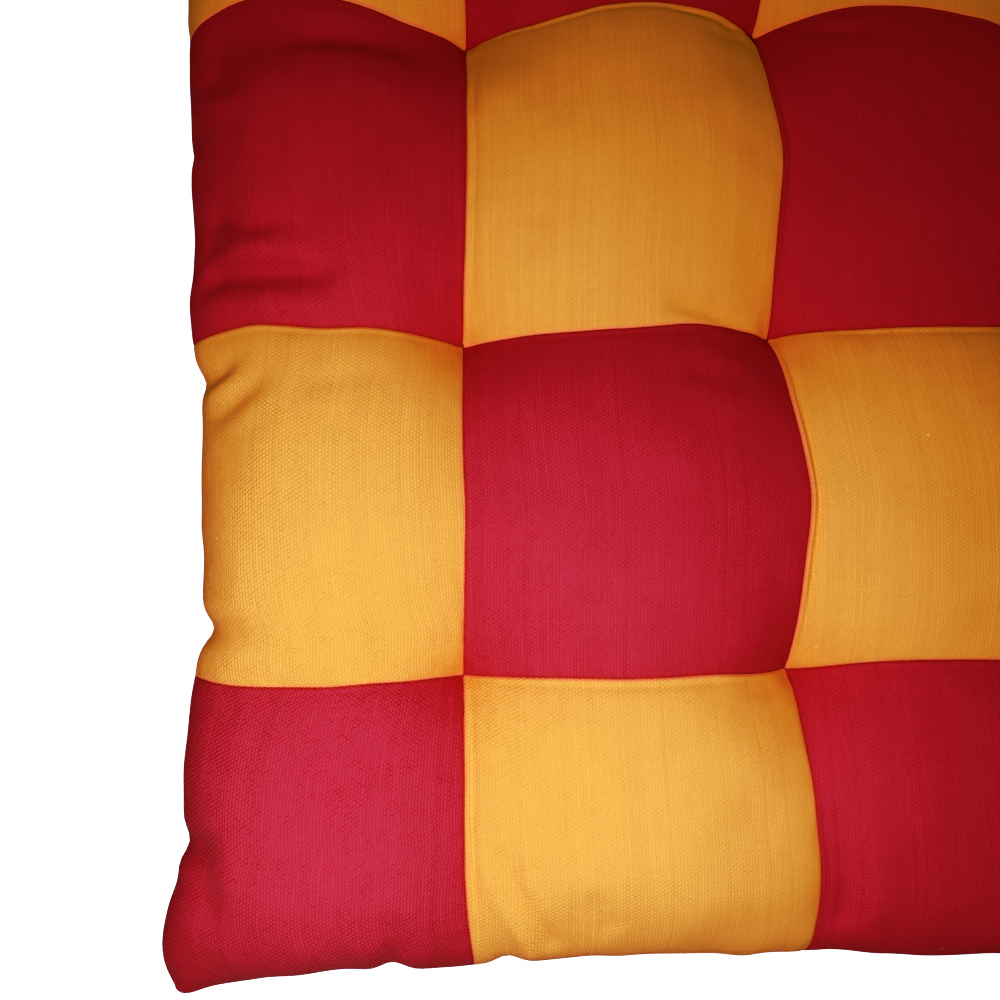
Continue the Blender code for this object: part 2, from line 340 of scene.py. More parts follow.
# Creases of the parts outside the photograph, at the rim and inside it
OTHER_CREASES = rim_creases(
    0.1,
    (
        (((188, -104), (172, -99), (154, -88)), 3.4, 2.0, 0.8),
        (((188, 4), (170, 8), (150, 20)), 3.4, 2.0, 0.9),
        (((188, 62), (172, 60), (160, 54)), 2.6, 1.4, 0.0, 0.5),
        (((188, 128), (170, 124), (150, 130)), 4.0, 1.8, 0.6),
        (((-108, 192), (-110, 176), (-113, 158)), 3.4, 1.8, 0.6),
        (((-42, 192), (-44, 178), (-50, 168)), 3.0, 1.2),
        (((58, 192), (56, 176), (48, 156)), 3.6, 1.9, 0.0, 0.7),
        (((112, 192), (116, 174), (124, 154)), 3.2, 1.8, 0.6),
        (((104, -192), (103, -178), (96, -166)), 3.0, 1.5, 0.5),
        (((148, -192), (150, -180), (158, -170)), 3.2, 1.2),
    ),
) + (
    Crease(((97, 6), (84, 12), (66, 13)), 3.4, 1.2, left=0.4),
    Crease(((107, 100), (118, 92), (136, 88)), 3.4, 1.2, left=0.4),
    Crease(((97, -110), (82, -118), (66, -121)), 3.2, 1.1, right=0.4),
    Crease(((8, 104), (26, 98), (40, 97)), 3.0, 1.0, left=0.3),
    Crease(((106, -8), (112, -22), (112, -38)), 3.4, 0.9),
)

BACK_CREASES = rim_creases(
    0.05,
    (
        (((-188, -9), (-170, -6), (-150, -10)), 3.6, 1.8, 0.6),
        (((-186, -89), (-168, -92), (-152, -98)), 3.6, 1.6, 0.5),
        (((-188, 65), (-172, 68), (-158, 76)), 3.0, 1.4),
        (((-90, -190), (-92, -172), (-98, -150)), 3.4, 1.8, 0.6),
        (((104, -190), (106, -172), (102, -150)), 3.4, 1.6, 0.0, 0.5),
        (((188, -104), (170, -106), (150, -112)), 3.6, 1.8, 0.6),
        (((188, 4), (170, 2), (146, 4)), 3.4, 1.7, 0.0, 0.5),
        (((188, 128), (168, 130), (150, 124)), 4.0, 1.5, 0.5),
        (((-108, 192), (-106, 174), (-104, 152)), 3.4, 1.7, 0.5),
        (((58, 192), (62, 176), (74, 158)), 3.6, 1.6, 0.0, 0.5),
        (((112, 192), (110, 174), (106, 150)), 3.2, 1.6, 0.5),
    ),
)

CREASES = {Side.FACE: SEEN_CREASES + OTHER_CREASES, Side.BACK: BACK_CREASES}

# Way of a tufting stitch's thread: 0 for the back and 1 for the face, then how far along the bar on
# the face, along the bar on the back, and up, in millimetres
STITCH_STOPS = (
    (0, 1.4, -5.2, -1.0), (0, 0, -3.2, -1.1), (0, 0.6, 0.4, -1.1), (0, -0.5, 0.6, -1.4),
    (0, -0.2, -0.7, -1.3), (0, 0, -2.2, -0.3), (0, 0, -1.54, 1.5), (0.5, -0.8, 0, 0),
    (1, -1.1, 0, -1.2), (1, -0.88, 0, 0.3), (1, 0, 0, 0.52), (1, 0.88, 0, 0.3),
    (1, 1.1, 0, -1.2), (0.5, 0.8, 0, 0), (0, 0, 1.54, 1.5), (0, 0, 2.2, -0.3),
    (0, 0, 0.5, -0.9), (0, 0.4, -0.6, -1.8), (0, 1.0, 2.6, -1.2), (0, 2.6, 4.8, -1.0),
)


@dataclass
class CushionForm:
    """The filled form: the sizes of the solid, and the surface of its face and back."""

    pitch_x: float = 0.102
    pitch_y: float = 0.106
    half_x: float = 0.1945
    half_y: float = 0.1970
    tuft_face_z: float = 0.032
    tuft_back_z: float = 0.020
    rim_z: float = 0.028
    corner_drop: float = 0.003
    corner_power: int = 4
    corner_round: float = 0.0022
    corner_reach: float = 0.012
    bulge_power: float = 2.3
    crown_share: float = 0.55
    roll_width: float = 0.45  # share of a patch over which the filling rolls down to the rim
    roll_power: float = 0.5
    back_rise: float = 0.021
    press_blend: float = 0.004
    wander: float = 0.00022
    wander_cells: int = 30
    wander_seed: int = 11
    rim_samples: int = 1601
    settled: Optional[dict[Side, Field]] = None

    def __post_init__(self) -> None:
        """Draws the small wander of the seam lines, and finds the middle of the rim's box."""
        self.drift = Field.noise(self.wander_seed, self.wander_cells, 2, self.wander)
        lines = np.linspace(0, PATCHES, self.rim_samples)
        ends = np.array((0.0, float(PATCHES)))
        sides = (self.plan(*np.meshgrid(ends, lines)), self.plan(*np.meshgrid(lines, ends)))
        both = [np.concatenate([line.ravel() for line in lines]) for lines in zip(*sides)]
        self.middle = [(line.min() + line.max()) / 2 for line in both]

    @staticmethod
    def patch_of(place: np.ndarray) -> tuple[np.ndarray, np.ndarray]:
        """The patch that each place lies in, and how far across that patch it is."""
        patch = np.clip(place.astype(int), 0, PATCHES - 1)
        return patch, place - patch

    def roll(self, share: np.ndarray) -> np.ndarray:
        """Rises from 0 at the rim to 1 where the filling has its full height."""
        return (1 - (1 - clamped(share / self.roll_width)) ** 2) ** self.roll_power

    def bulge(self, place: np.ndarray) -> np.ndarray:
        """Rise of the filling across a patch: 0 at its tufts, and rolling down to the rim."""
        patch, share = self.patch_of(place)
        rise = 1 - np.abs(2 * share - 1) ** self.bulge_power
        rise = np.where((patch == 0) & (share < 0.5), self.roll(share), rise)
        return np.where((patch == PATCHES - 1) & (share > 0.5), self.roll(1 - share), rise)

    def rim_ease(self, place: np.ndarray) -> np.ndarray:
        """1 all over the cushion, and rolling down to 0 at the two rims that the places cross."""
        return self.roll(place) * self.roll(PATCHES - place)

    def seam_rise(
        self, rows: Sequence[Sequence[float]], along: np.ndarray, across: np.ndarray
    ) -> np.ndarray:
        """Rise in metres, blended between the two seams on either side of each point."""
        table = np.array(rows)
        strip, share = self.patch_of(across)
        length, _ = self.patch_of(along)
        near = table[strip, length]
        return (near + (table[strip + 1, length] - near) * share) * MM

    @staticmethod
    def draw_in(edge: Edge, along: np.ndarray) -> np.ndarray:
        """How far the rim of an edge is drawn in at places along it."""
        pull = np.zeros(along.shape)
        for place, reach, depth in RIM_DRAWS[edge]:
            pull += depth * hump(along / MM - place, reach)
        return pull * MM

    @staticmethod
    def line_of(place: np.ndarray, pitch: float, half: float) -> np.ndarray:
        """Straight position of grid places before tufts and rim move them."""
        inner = (PATCHES / 2 - 1) * pitch
        low = -half + place * (half - inner)
        high = inner + (place - (PATCHES - 1)) * (half - inner)
        middle = (place - PATCHES / 2) * pitch
        return np.where(place < 1, low, np.where(place > PATCHES - 1, high, middle))

    @staticmethod
    def stray(rows: Sequence[Sequence[float]], across: np.ndarray, along: np.ndarray) -> np.ndarray:
        """Shift in metres, which falls off in a straight line from each inner seam to the next."""
        last = len(rows[0]) - 1
        place = clamped(along / PATCHES) * last
        cell = np.minimum(place.astype(int), last - 1)
        parts = curve_parts(place - cell)
        stops = [np.clip(cell + step - 1, 0, last) for step in range(len(parts))]
        shift = np.zeros(np.broadcast(across, along).shape)
        for number, row in enumerate(rows, 1):
            near = sum(part * np.array(row)[stop] for part, stop in zip(parts, stops))
            shift = shift + np.maximum(0, 1 - np.abs(across - number)) * near
        return shift * MM

    def plan(self, u: np.ndarray, v: np.ndarray) -> tuple[np.ndarray, np.ndarray]:
        """Finds the places of grid points seen from above.

        Args:
            u: Patches from the left rim.
            v: Patches from the bottom rim.

        Returns:
            The places across and up, before the form is centred.
        """
        x = self.line_of(u, self.pitch_x, self.half_x)
        y = self.line_of(v, self.pitch_y, self.half_y)
        left = self.draw_in(Edge.LEFT, y) * np.maximum(0, 1 - u) ** 2
        right = self.draw_in(Edge.RIGHT, y) * np.maximum(0, u - (PATCHES - 1)) ** 2
        bottom = self.draw_in(Edge.BOTTOM, x) * np.maximum(0, 1 - v) ** 2
        top = self.draw_in(Edge.TOP, x) * np.maximum(0, v - (PATCHES - 1)) ** 2
        x = x + self.stray(STRAYS_UP, u, v) + left - right
        y = y + self.stray(STRAYS_ACROSS, v, u) + bottom - top
        to_corner = np.hypot(self.half_x - np.abs(x), self.half_y - np.abs(y))
        pull = self.corner_round * clamped(1 - to_corner / self.corner_reach) ** 2
        return x - np.copysign(pull, x), y - np.copysign(pull, y)

    def rim_height(self, u: np.ndarray, v: np.ndarray) -> np.ndarray:
        """Height of the rim seam, which wanders a little and is lower towards the corners."""
        half = PATCHES / 2
        along = np.minimum(np.abs(u - half), np.abs(v - half)) / half
        height = self.rim_z - self.corner_drop * along**self.corner_power
        for size, across, up in RIM_WAVES:
            height = height + size * MM * np.sin(across * u + up * v)
        return height

    def base_height(self, u: np.ndarray, v: np.ndarray, tuft_z: float) -> np.ndarray:
        """Height that the filling rises from: the rim's at the rim and the tufts' inside it."""
        inside = clamped(u) * clamped(v) * clamped(PATCHES - u) * clamped(PATCHES - v)
        rim = self.rim_height(u, v)
        return rim + (tuft_z - rim) * inside

    def face_height(self, u: np.ndarray, v: np.ndarray) -> np.ndarray:
        """Height of the face: crowned patches with sewn channels between them."""
        across = self.bulge(u)
        up = self.bulge(v)
        rise_up = self.seam_rise(SEAMS_UP, v, u)
        rise_across = self.seam_rise(SEAMS_ACROSS, u, v)
        rise = rise_up * up * self.rim_ease(u)
        rise = rise + rise_across * across * self.rim_ease(v)
        rise = rise - self.crown_share * (rise_up + rise_across) / 2 * across * up
        return self.base_height(u, v, self.tuft_face_z) + rise

    def back_height(self, u: np.ndarray, v: np.ndarray) -> np.ndarray:
        """Height of the back before the floor presses on it."""
        across = self.bulge(u)
        up = self.bulge(v)
        drop = up * self.rim_ease(u) + across * self.rim_ease(v) - self.crown_share * across * up
        return self.base_height(u, v, self.tuft_back_z) - self.back_rise * drop

    def pressed(self, height: np.ndarray) -> np.ndarray:
        """Heights of a cloth that the floor presses flat, with a soft bend where it lifts off."""
        blend = self.press_blend
        bent = (height + blend) ** 2 / (4 * blend)
        return np.where(height <= -blend, 0.0, np.where(height < blend, bent, height))

    def surface(self, across: Lines, up: Lines, side: Side) -> np.ndarray:
        """Finds points of the cover before it gets its seams.

        Args:
            across: Patches from the left rim.
            up: Patches from the bottom rim.
            side: Face or back.

        Returns:
            An array of columns, rows and the three coordinates.
        """
        across = np.clip(across, 0, PATCHES)
        up = np.clip(up, 0, PATCHES)
        u, v = np.meshgrid(across, up, indexing="ij")
        x, y = self.plan(u, v)
        height = self.face_height(u, v) if side is Side.FACE else self.back_height(u, v)
        points = np.stack((x - self.middle[0], y - self.middle[1], height), axis=-1)
        points[..., :2] += self.drift.at(across, up)
        if self.settled:
            points += self.settled[side].at(across, up)
        return points

    def crossing(self, tuft: Crossing, side: Side) -> np.ndarray:
        """The point of a side where a tuft is."""
        column, row = np.array(tuft, float)
        return self.surface(np.array([column]), np.array([row]), side)[0, 0]


@dataclass
class Settling:
    """Cloth simulation that blows the sewn cover up inside its tufts and rim."""

    cells: int = 20  # cells across a patch
    frames: int = 24
    pressure: float = 4.0
    slack: float = 0.012  # how much longer the cloth is than the form
    rim_slack: float = 0.05  # the same along the rim seam, which the filling draws in
    middle_z: float = 0.03  # height that the cloth is spread out from
    cap: float = 0.005  # how far a point may move
    rim_hold: float = 0.55
    quality: int = 6
    blur_rounds: int = 40  # which part the wide swell from the wrinkles
    keep: float = 0.25  # share of the wide swell that is kept

    def cover(
        self, form: CushionForm
    ) -> tuple[np.ndarray, list[tuple[int, ...]], np.ndarray, np.ndarray]:
        """Lays out the closed cover.

        Args:
            form: The form to start from.

        Returns:
            Points, faces, and the vertex number of each grid point of the face and of the back.
        """
        count = self.cells * PATCHES
        lines = np.linspace(0, PATCHES, count + 1)
        face = form.surface(lines, lines, Side.FACE)
        back = form.surface(lines, lines, Side.BACK)
        numbers = np.arange((count + 1) ** 2).reshape(count + 1, count + 1)
        below = numbers.copy()
        below[1:-1, 1:-1] = numbers.size + np.arange((count - 1) ** 2).reshape(count - 1, count - 1)
        points = np.concatenate((face.reshape(-1, 3), back[1:-1, 1:-1].reshape(-1, 3)))
        faces = []
        for i in range(count):
            for j in range(count):
                ring = ((i, j), (i + 1, j), (i + 1, j + 1), (i, j + 1))
                faces.append(tuple(int(numbers[place]) for place in ring))
                faces.append(tuple(int(below[place]) for place in reversed(ring)))
        return points, faces, numbers, below

    @staticmethod
    def rim_of(numbers: np.ndarray) -> list[int]:
        """The vertex numbers of the rim seam, in order."""
        return np.unique(np.concatenate((numbers[0], numbers[-1], numbers[:, 0], numbers[:, -1]))).tolist()

    def rest_points(self, points: np.ndarray, numbers: np.ndarray) -> np.ndarray:
        """Spreads the cover out a little, most at the rim, as the length that the cloth was cut to."""
        rest = points.copy()
        rest[:, :2] *= 1 + self.slack
        rest[:, 2] = self.middle_z + (rest[:, 2] - self.middle_z) * (1 + self.slack)
        rest[self.rim_of(numbers), :2] *= 1 + self.rim_slack
        return rest

    def hold(self, cover: bpy.types.Object, numbers: np.ndarray, below: np.ndarray) -> None:
        """Holds the tufts and corners fast and the rim softly."""
        pin = cover.vertex_groups.new(name="held")
        pin.add(self.rim_of(numbers), self.rim_hold, "REPLACE")
        for column, row in TUFTS:
            place = (column * self.cells, row * self.cells)
            pin.add([int(numbers[place]), int(below[place])], 1.0, "REPLACE")
        corners = [int(numbers[i, j]) for i in (0, -1) for j in (0, -1)]
        pin.add(corners, 1.0, "REPLACE")

    def dress(self, cover: bpy.types.Object, rest: bpy.types.ShapeKey) -> None:
        """Adds the cloth modifier."""
        cloth = cover.modifiers.new("blown up", "CLOTH")
        settings = cloth.settings
        settings.quality = self.quality
        settings.mass = 0.15
        settings.air_damping = 2.0
        settings.tension_stiffness = 30
        settings.compression_stiffness = 30
        settings.shear_stiffness = 8
        settings.bending_stiffness = 0.6
        settings.use_pressure = True
        settings.uniform_pressure_force = self.pressure
        settings.vertex_group_mass = "held"
        settings.pin_stiffness = 4
        settings.rest_shape_key = rest
        settings.effector_weights.gravity = 0
        cloth.collision_settings.use_collision = False
        cloth.collision_settings.use_self_collision = False
        cloth.point_cache.frame_start = 1
        cloth.point_cache.frame_end = self.frames

    def kept(self, moves: np.ndarray) -> np.ndarray:
        """Keeps the wrinkles, a share of the wide swell, and caps what is left."""
        wide = moves
        for _ in range(self.blur_rounds):
            pad = np.pad(wide, ((1, 1), (1, 1), (0, 0)), mode="edge")
            around = pad[:-2, 1:-1] + pad[2:, 1:-1] + pad[1:-1, :-2] + pad[1:-1, 2:]
            wide = around / 8 + wide / 2
        fine = moves - (1 - self.keep) * wide
        length = np.linalg.norm(fine, axis=-1, keepdims=True)
        return fine * (np.tanh(length / self.cap) * self.cap / np.maximum(length, 1e-9))

    def run(self, form: CushionForm) -> dict[Side, Field]:
        """Blows the cover up.

        Args:
            form: The form to start from.

        Returns:
            How far the cloth moves on each side.
        """
        points, faces, numbers, below = self.cover(form)
        mesh = bpy.data.meshes.new("cover")
        mesh.from_pydata(points.tolist(), [], faces)
        cover = placed("cover", mesh)
        cover.shape_key_add(name="Basis")
        rest = cover.shape_key_add(name="cut")
        rest.data.foreach_set("co", self.rest_points(points, numbers).ravel())
        rest.value = 0.0
        self.hold(cover, numbers, below)
        self.dress(cover, rest)
        for number in range(1, self.frames + 1):
            bpy.context.scene.frame_set(number)
        shaped = cover.evaluated_get(bpy.context.evaluated_depsgraph_get()).to_mesh()
        ended = np.zeros(len(points) * 3)
        shaped.vertices.foreach_get("co", ended)
        moves = ended.reshape(-1, 3) - points
        LOG.info("cloth moved %.1f mm at most", np.linalg.norm(moves, axis=1).max() / MM)
        bpy.data.objects.remove(cover)
        bpy.data.meshes.remove(mesh)
        bpy.context.scene.frame_set(1)
        grids = {Side.FACE: numbers, Side.BACK: below}
        return {side: Field(self.kept(moves[grid])) for side, grid in grids.items()}


@dataclass
class SeamWork:
    """How the cloth turns down into its seams, and the small relief beside them."""

    groove: float = 0.00032  # depth of the turned edge
    groove_reach: float = 0.0008
    roll_height: float = 0.00030  # rolled edge on the side that the allowances are pressed to
    roll_place: float = 0.0008
    roll_reach: float = 0.0007
    dip: float = 0.00050  # soft dip where the allowances end
    dip_place: float = 0.0024
    dip_reach: float = 0.0011
    strip_end: float = 0.02  # share of a patch at each end over which the allowances stay level
    strip_power: float = 0.7  # how soon they rise along a patch
    rim_groove: float = 0.0006
    rim_groove_reach: float = 0.0007
    rim_roll: float = 0.0004
    rim_roll_place: float = 0.0021
    rim_roll_reach: float = 0.0014
    rim_fade: float = 0.0022  # over which the face's own relief dies out at the rim
    join_reach: float = 0.0016  # over which the cloth leans to the line of the seam
    pucker: float = 0.00016
    pucker_cells: int = 90
    pucker_seed: int = 5
    pucker_reach: float = 0.005
    lump_cells: tuple[int, ...] = (22, 56)
    lump_sizes: tuple[float, ...] = (0.00038, 0.00010)
    tuft_dip: float = 0.0008
    tuft_reach: float = 0.0035
    probe: float = 0.0024  # half the stretch that a normal is taken over
    turned: tuple[float, ...] = (0.0004, 0.0012, 0.0024, 0.0038)  # depths of the turned edge's rows
    lean: float = 0.14  # how much the turned edge leans away from the seam
    part: float = -0.00010  # below zero, as the two turned edges are pressed into each other

    def __post_init__(self) -> None:
        """Draws the puckers along the seams and the lumps of the filling."""
        self.puckers = Field.noise(self.pucker_seed, self.pucker_cells, 1, self.pucker)
        seeds = {Side.FACE: (21, 22), Side.BACK: (23, 24)}
        self.lumps = {}
        for side, pair in seeds.items():
            draws = zip(pair, self.lump_cells, self.lump_sizes)
            self.lumps[side] = [Field.noise(seed, cells, 1, size) for seed, cells, size in draws]


@dataclass(frozen=True)
class Cut:
    """Where a piece of the cover is cut."""

    across: Lines  # patches from the left rim, for each column of points
    up: Lines  # patches from the bottom rim, for each row of points
    side: Side
    rims: tuple[Edge, ...]  # edges of the piece that lie in the rim seam
    strips: dict[Edge, float] = field(default_factory=dict)  # how the allowances show inside an edge


@dataclass
class ClothSheet:
    """One cut piece of the cover: grids of columns and rows."""

    points: np.ndarray
    cloth: np.ndarray  # place in the cut cloth in millimetres
    seam: np.ndarray  # distance to the nearest patch seam in millimetres
    clarity: np.ndarray  # how clearly the weave stands out
    turned: int  # rows of turned edge on each side


class Tailor:
    """Cuts the cover's pieces from the form and gives them their seams."""

    seam_steps_mm = (0.0, 0.25, 0.5, 0.8, 1.2, 1.7, 2.3, 3.0, 4.0, 5.2, 6.8, 8.8, 11.2)
    middle_step_mm = 2.1
    least_steps = 4  # steps across the middle of a patch
    path_samples = 801
    path_place = 1.5  # in patches: the middle of the second row or column stands for all
    rim_step = 0.07  # in patches: the stretch inside the rim that shows which way is out
    far_mm = 50.0  # distance to a seam where there is none
    thickness = 0.00045
    uv_edge = 0.008
    uv_inside = 0.07  # height of the strip that the hidden inner side is baked to

    def __init__(self, form: CushionForm, seams: SeamWork) -> None:
        """Keeps the form and the seams.

        Args:
            form: The filled form.
            seams: The seam sizes.
        """
        self.form = form
        self.seams = seams

    def spaced(self, patch: int, upwards: bool, side: Side) -> Lines:
        """Finds where the lines of a patch run, close together at its seams.

        Args:
            patch: Number of the column or row.
            upwards: Whether the lines follow one another upwards.
            side: Face or back.

        Returns:
            Places in patches from the left or bottom rim.
        """
        fine = np.linspace(patch, patch + 1, self.path_samples)
        middle = np.array([self.path_place])
        if upwards:
            path = self.form.surface(middle, fine, side)[0]
        else:
            path = self.form.surface(fine, middle, side)[:, 0]
        walked = np.concatenate(([0.0], np.cumsum(np.linalg.norm(np.diff(path, axis=0), axis=1))))
        total = walked[-1]
        near = np.array(self.seam_steps_mm) * MM
        count = max(self.least_steps, round((total - 2 * near[-1]) / (self.middle_step_mm * MM)))
        middle_stops = np.linspace(near[-1], total - near[-1], count + 1)[1:-1]
        stops = np.concatenate((near, middle_stops, (total - near)[::-1]))
        return np.interp(stops, walked, fine)

    def normals(self, across: Lines, up: Lines, side: Side) -> np.ndarray:
        """Outward directions, taken over a short stretch so that both sides of a seam agree."""
        surface = self.form.surface
        step_x = self.seams.probe / self.form.pitch_x
        step_y = self.seams.probe / self.form.pitch_y
        along_x = surface(across + step_x, up, side) - surface(across - step_x, up, side)
        along_y = surface(across, up + step_y, side) - surface(across, up - step_y, side)
        out = unit(np.cross(along_x, along_y))
        return out if side is Side.FACE else -out

    def outwards(self, across: Lines, up: Lines) -> np.ndarray:
        """Level directions out of the cushion near its rim."""
        inside = [np.clip(lines, self.rim_step, PATCHES - self.rim_step) for lines in (across, up)]
        away = self.form.surface(across, up, Side.FACE) - self.form.surface(*inside, Side.FACE)
        away[..., 2] = 0.0
        return unit(away)

    @staticmethod
    def walked(points: np.ndarray, axis: int) -> tuple[np.ndarray, np.ndarray]:
        """Distances along the cloth from the low edge and from the high edge of a grid."""
        steps = np.linalg.norm(np.diff(points, axis=axis), axis=-1)
        pad = [(0, 0), (0, 0)]
        pad[axis] = (1, 0)
        low = np.pad(np.cumsum(steps, axis=axis), pad)
        total = low[-1:, :] if axis == 0 else low[:, -1:]
        return low, total - low

    def allowance(self, cut: Cut, edge: Edge, away: np.ndarray) -> np.ndarray:
        """Finds the rolled edge, and the dip beyond it, where the allowances are pressed.

        Args:
            cut: Where the piece is cut.
            edge: The edge that they lie along.
            away: Distance to that edge.

        Returns:
            Heights in metres.
        """
        work = self.seams
        along = (cut.up if edge is Edge.LEFT else cut.across) % 1.0
        along = np.clip(along, work.strip_end, 1 - work.strip_end)
        share = cut.strips[edge] * np.sin(math.pi * along) ** work.strip_power
        share = share[None, :] if edge is Edge.LEFT else share[:, None]
        roll = work.roll_height * hump(away - work.roll_place, work.roll_reach)
        return share * (roll - work.dip * hump(away - work.dip_place, work.dip_reach))

    def relief(
        self, cut: Cut, inner: dict[Edge, np.ndarray], rim: np.ndarray, flat: np.ndarray
    ) -> np.ndarray:
        """Finds how far the cloth stands out of the form.

        Args:
            cut: Where the piece is cut.
            inner: Distance to each edge that is a patch seam.
            rim: Distance to the rim seam.
            flat: Places seen from above, in millimetres.

        Returns:
            Heights in metres along the outward directions.
        """
        work = self.seams
        height = sum(lumps.at(cut.across, cut.up)[..., 0] for lumps in work.lumps[cut.side])
        for crease in CREASES[cut.side]:
            height = height + crease.relief(flat[..., 0], flat[..., 1]) * MM
        pucker = work.puckers.at(cut.across, cut.up)[..., 0]
        open_share = np.ones(rim.shape)
        for edge, away in inner.items():
            rise = 1 - np.exp(-away / work.groove_reach)
            open_share = open_share * rise
            height = height + pucker * np.exp(-away / work.pucker_reach) * rise
            if edge in cut.strips:
                height = height + self.allowance(cut, edge, away)
        height = height - work.groove * (1 - open_share)
        for tuft in TUFTS:
            place = self.form.crossing(tuft, cut.side)
            away = np.hypot(flat[..., 0] * MM - place[0], flat[..., 1] * MM - place[1])
            height = height - work.tuft_dip * hump(away, work.tuft_reach)
        height = height * (1 - hump(rim, work.rim_fade))
        height = height - work.rim_groove * np.exp(-rim / work.rim_groove_reach)
        return height + work.rim_roll * hump(rim - work.rim_roll_place, work.rim_roll_reach)

    def sheet(self, cut: Cut) -> ClothSheet:
        """Cuts one piece of the cover.

        Args:
            cut: Where it is cut.

        Returns:
            The piece, with its edges turned in.
        """
        across, up, side = cut.across, cut.up, cut.side
        base = self.form.surface(across, up, side)
        from_left, from_right = self.walked(base, 0)
        from_bottom, from_top = self.walked(base, 1)
        away = {Edge.LEFT: from_left, Edge.RIGHT: from_right, Edge.BOTTOM: from_bottom, Edge.TOP: from_top}
        rim = np.full(base.shape[:2], 1.0)
        for edge in cut.rims:
            rim = np.minimum(rim, away.pop(edge))
        lean = np.exp(-rim / self.seams.join_reach)[..., None]
        normal = unit(self.normals(across, up, side) * (1 - lean) + self.outwards(across, up) * lean)
        points = base + normal * self.relief(cut, away, rim, base[..., :2] / MM)[..., None]
        cloth = np.stack(((from_left - from_right) / 2, (from_bottom - from_top) / 2), axis=-1) / MM
        seam = np.full(rim.shape, self.far_mm)
        for distance in away.values():
            seam = np.minimum(seam, distance / MM)
        clarity = np.ones(rim.shape)
        if side is Side.FACE:
            clarity = Field(np.array(CLARITY).T[..., None]).at(across, up)[..., 0]
        return self.turn_edges(ClothSheet(points, cloth, seam, clarity, len(self.seams.turned)), normal)

    def turn_edges(self, flat: ClothSheet, normal: np.ndarray) -> ClothSheet:
        """Adds the turned edges on all four sides.

        Args:
            flat: The piece before its edges are turned.
            normal: Outward directions at its points.

        Returns:
            The piece with rows of turned edge around it.
        """
        rows = flat.turned
        pad = ((rows, rows), (rows, rows), (0, 0))
        grids = (flat.points, normal, flat.cloth)
        points, normal, cloth = (np.pad(grid, pad, mode="edge") for grid in grids)
        seam, clarity = (np.pad(grid, pad[:2], mode="edge") for grid in (flat.seam, flat.clarity))
        for axis in (0, 1):
            for sign in (-1, 1):
                turned = [grid.swapaxes(0, axis)[::-sign] for grid in (points, normal, cloth)]
                place, out, mark = turned
                own = unit(place[rows + 1] - place[rows])
                own = unit(own - out[rows] * np.sum(own * out[rows], axis=-1, keepdims=True))
                for step, depth in enumerate(self.seams.turned, 1):
                    shift = own * (self.seams.part + self.seams.lean * depth) - out[rows] * depth
                    place[rows - step] = place[rows] + shift
                    mark[rows - step, :, axis] = mark[rows, :, axis] + sign * depth / MM
        return ClothSheet(points, cloth, seam, clarity, rows)

    def mesh(self, name: str, sheet: ClothSheet, side: Side, twist: float, seed: float) -> bpy.types.Mesh:
        """Makes the mesh of a piece, as thick as the cloth.

        Args:
            name: Name of the piece.
            sheet: The cut piece.
            side: Face or back.
            twist: How far its weave is turned, in radians.
            seed: Where in the cloth it was cut.

        Returns:
            A closed mesh with the cloth and seam marks and its own bake layout.
        """
        columns, rows = sheet.points.shape[:2]
        numbers = np.arange(columns * rows).reshape(columns, rows)
        edge = sheet.turned
        low_i = np.arange(columns - 1)
        low_j = np.arange(rows - 1)
        turned_i = (low_i < edge) | (low_i >= columns - 1 - edge)
        turned_j = (low_j < edge) | (low_j >= rows - 1 - edge)
        wanted = ~(turned_i[:, None] & turned_j[None, :])
        corners = (numbers[:-1, :-1], numbers[1:, :-1], numbers[1:, 1:], numbers[:-1, 1:])
        quads = np.stack([corner[wanted] for corner in corners], axis=-1)
        if side is Side.BACK:
            quads = quads[:, ::-1]
        used, quads = np.unique(quads, return_inverse=True)
        quads = quads.reshape(-1, 4)
        cloth = sheet.cloth.reshape(-1, 2)[used]
        turned = np.array(((math.cos(twist), -math.sin(twist)), (math.sin(twist), math.cos(twist))))
        place = np.column_stack((cloth @ turned.T + seed, np.full(len(used), seed)))
        spread_u = self.spread(sheet.cloth[..., 0].mean(axis=1))
        spread_v = self.spread(sheet.cloth[..., 1].mean(axis=0))
        laid = np.stack(np.meshgrid(spread_u, spread_v, indexing="ij"), axis=-1).reshape(-1, 2)[used]
        mesh = bpy.data.meshes.new(name)
        mesh.from_pydata(sheet.points.reshape(-1, 3)[used].tolist(), [], quads.tolist())
        mesh.attributes.new("cloth", "FLOAT_VECTOR", "POINT").data.foreach_set("vector", place.ravel())
        for label, marks in (("seam", sheet.seam), ("clarity", sheet.clarity)):
            mesh.attributes.new(label, "FLOAT", "POINT").data.foreach_set("value", marks.reshape(-1)[used])
        mesh.uv_layers.new(name=LAYOUT).data.foreach_set("uv", laid[quads.ravel()].ravel())
        return self.thickened(mesh, len(quads))

    def spread(self, marks: np.ndarray) -> np.ndarray:
        """Spreads cloth places over the bake layout's width."""
        share = (marks - marks.min()) / (marks.max() - marks.min())
        return self.uv_edge + share * (1 - 2 * self.uv_edge)

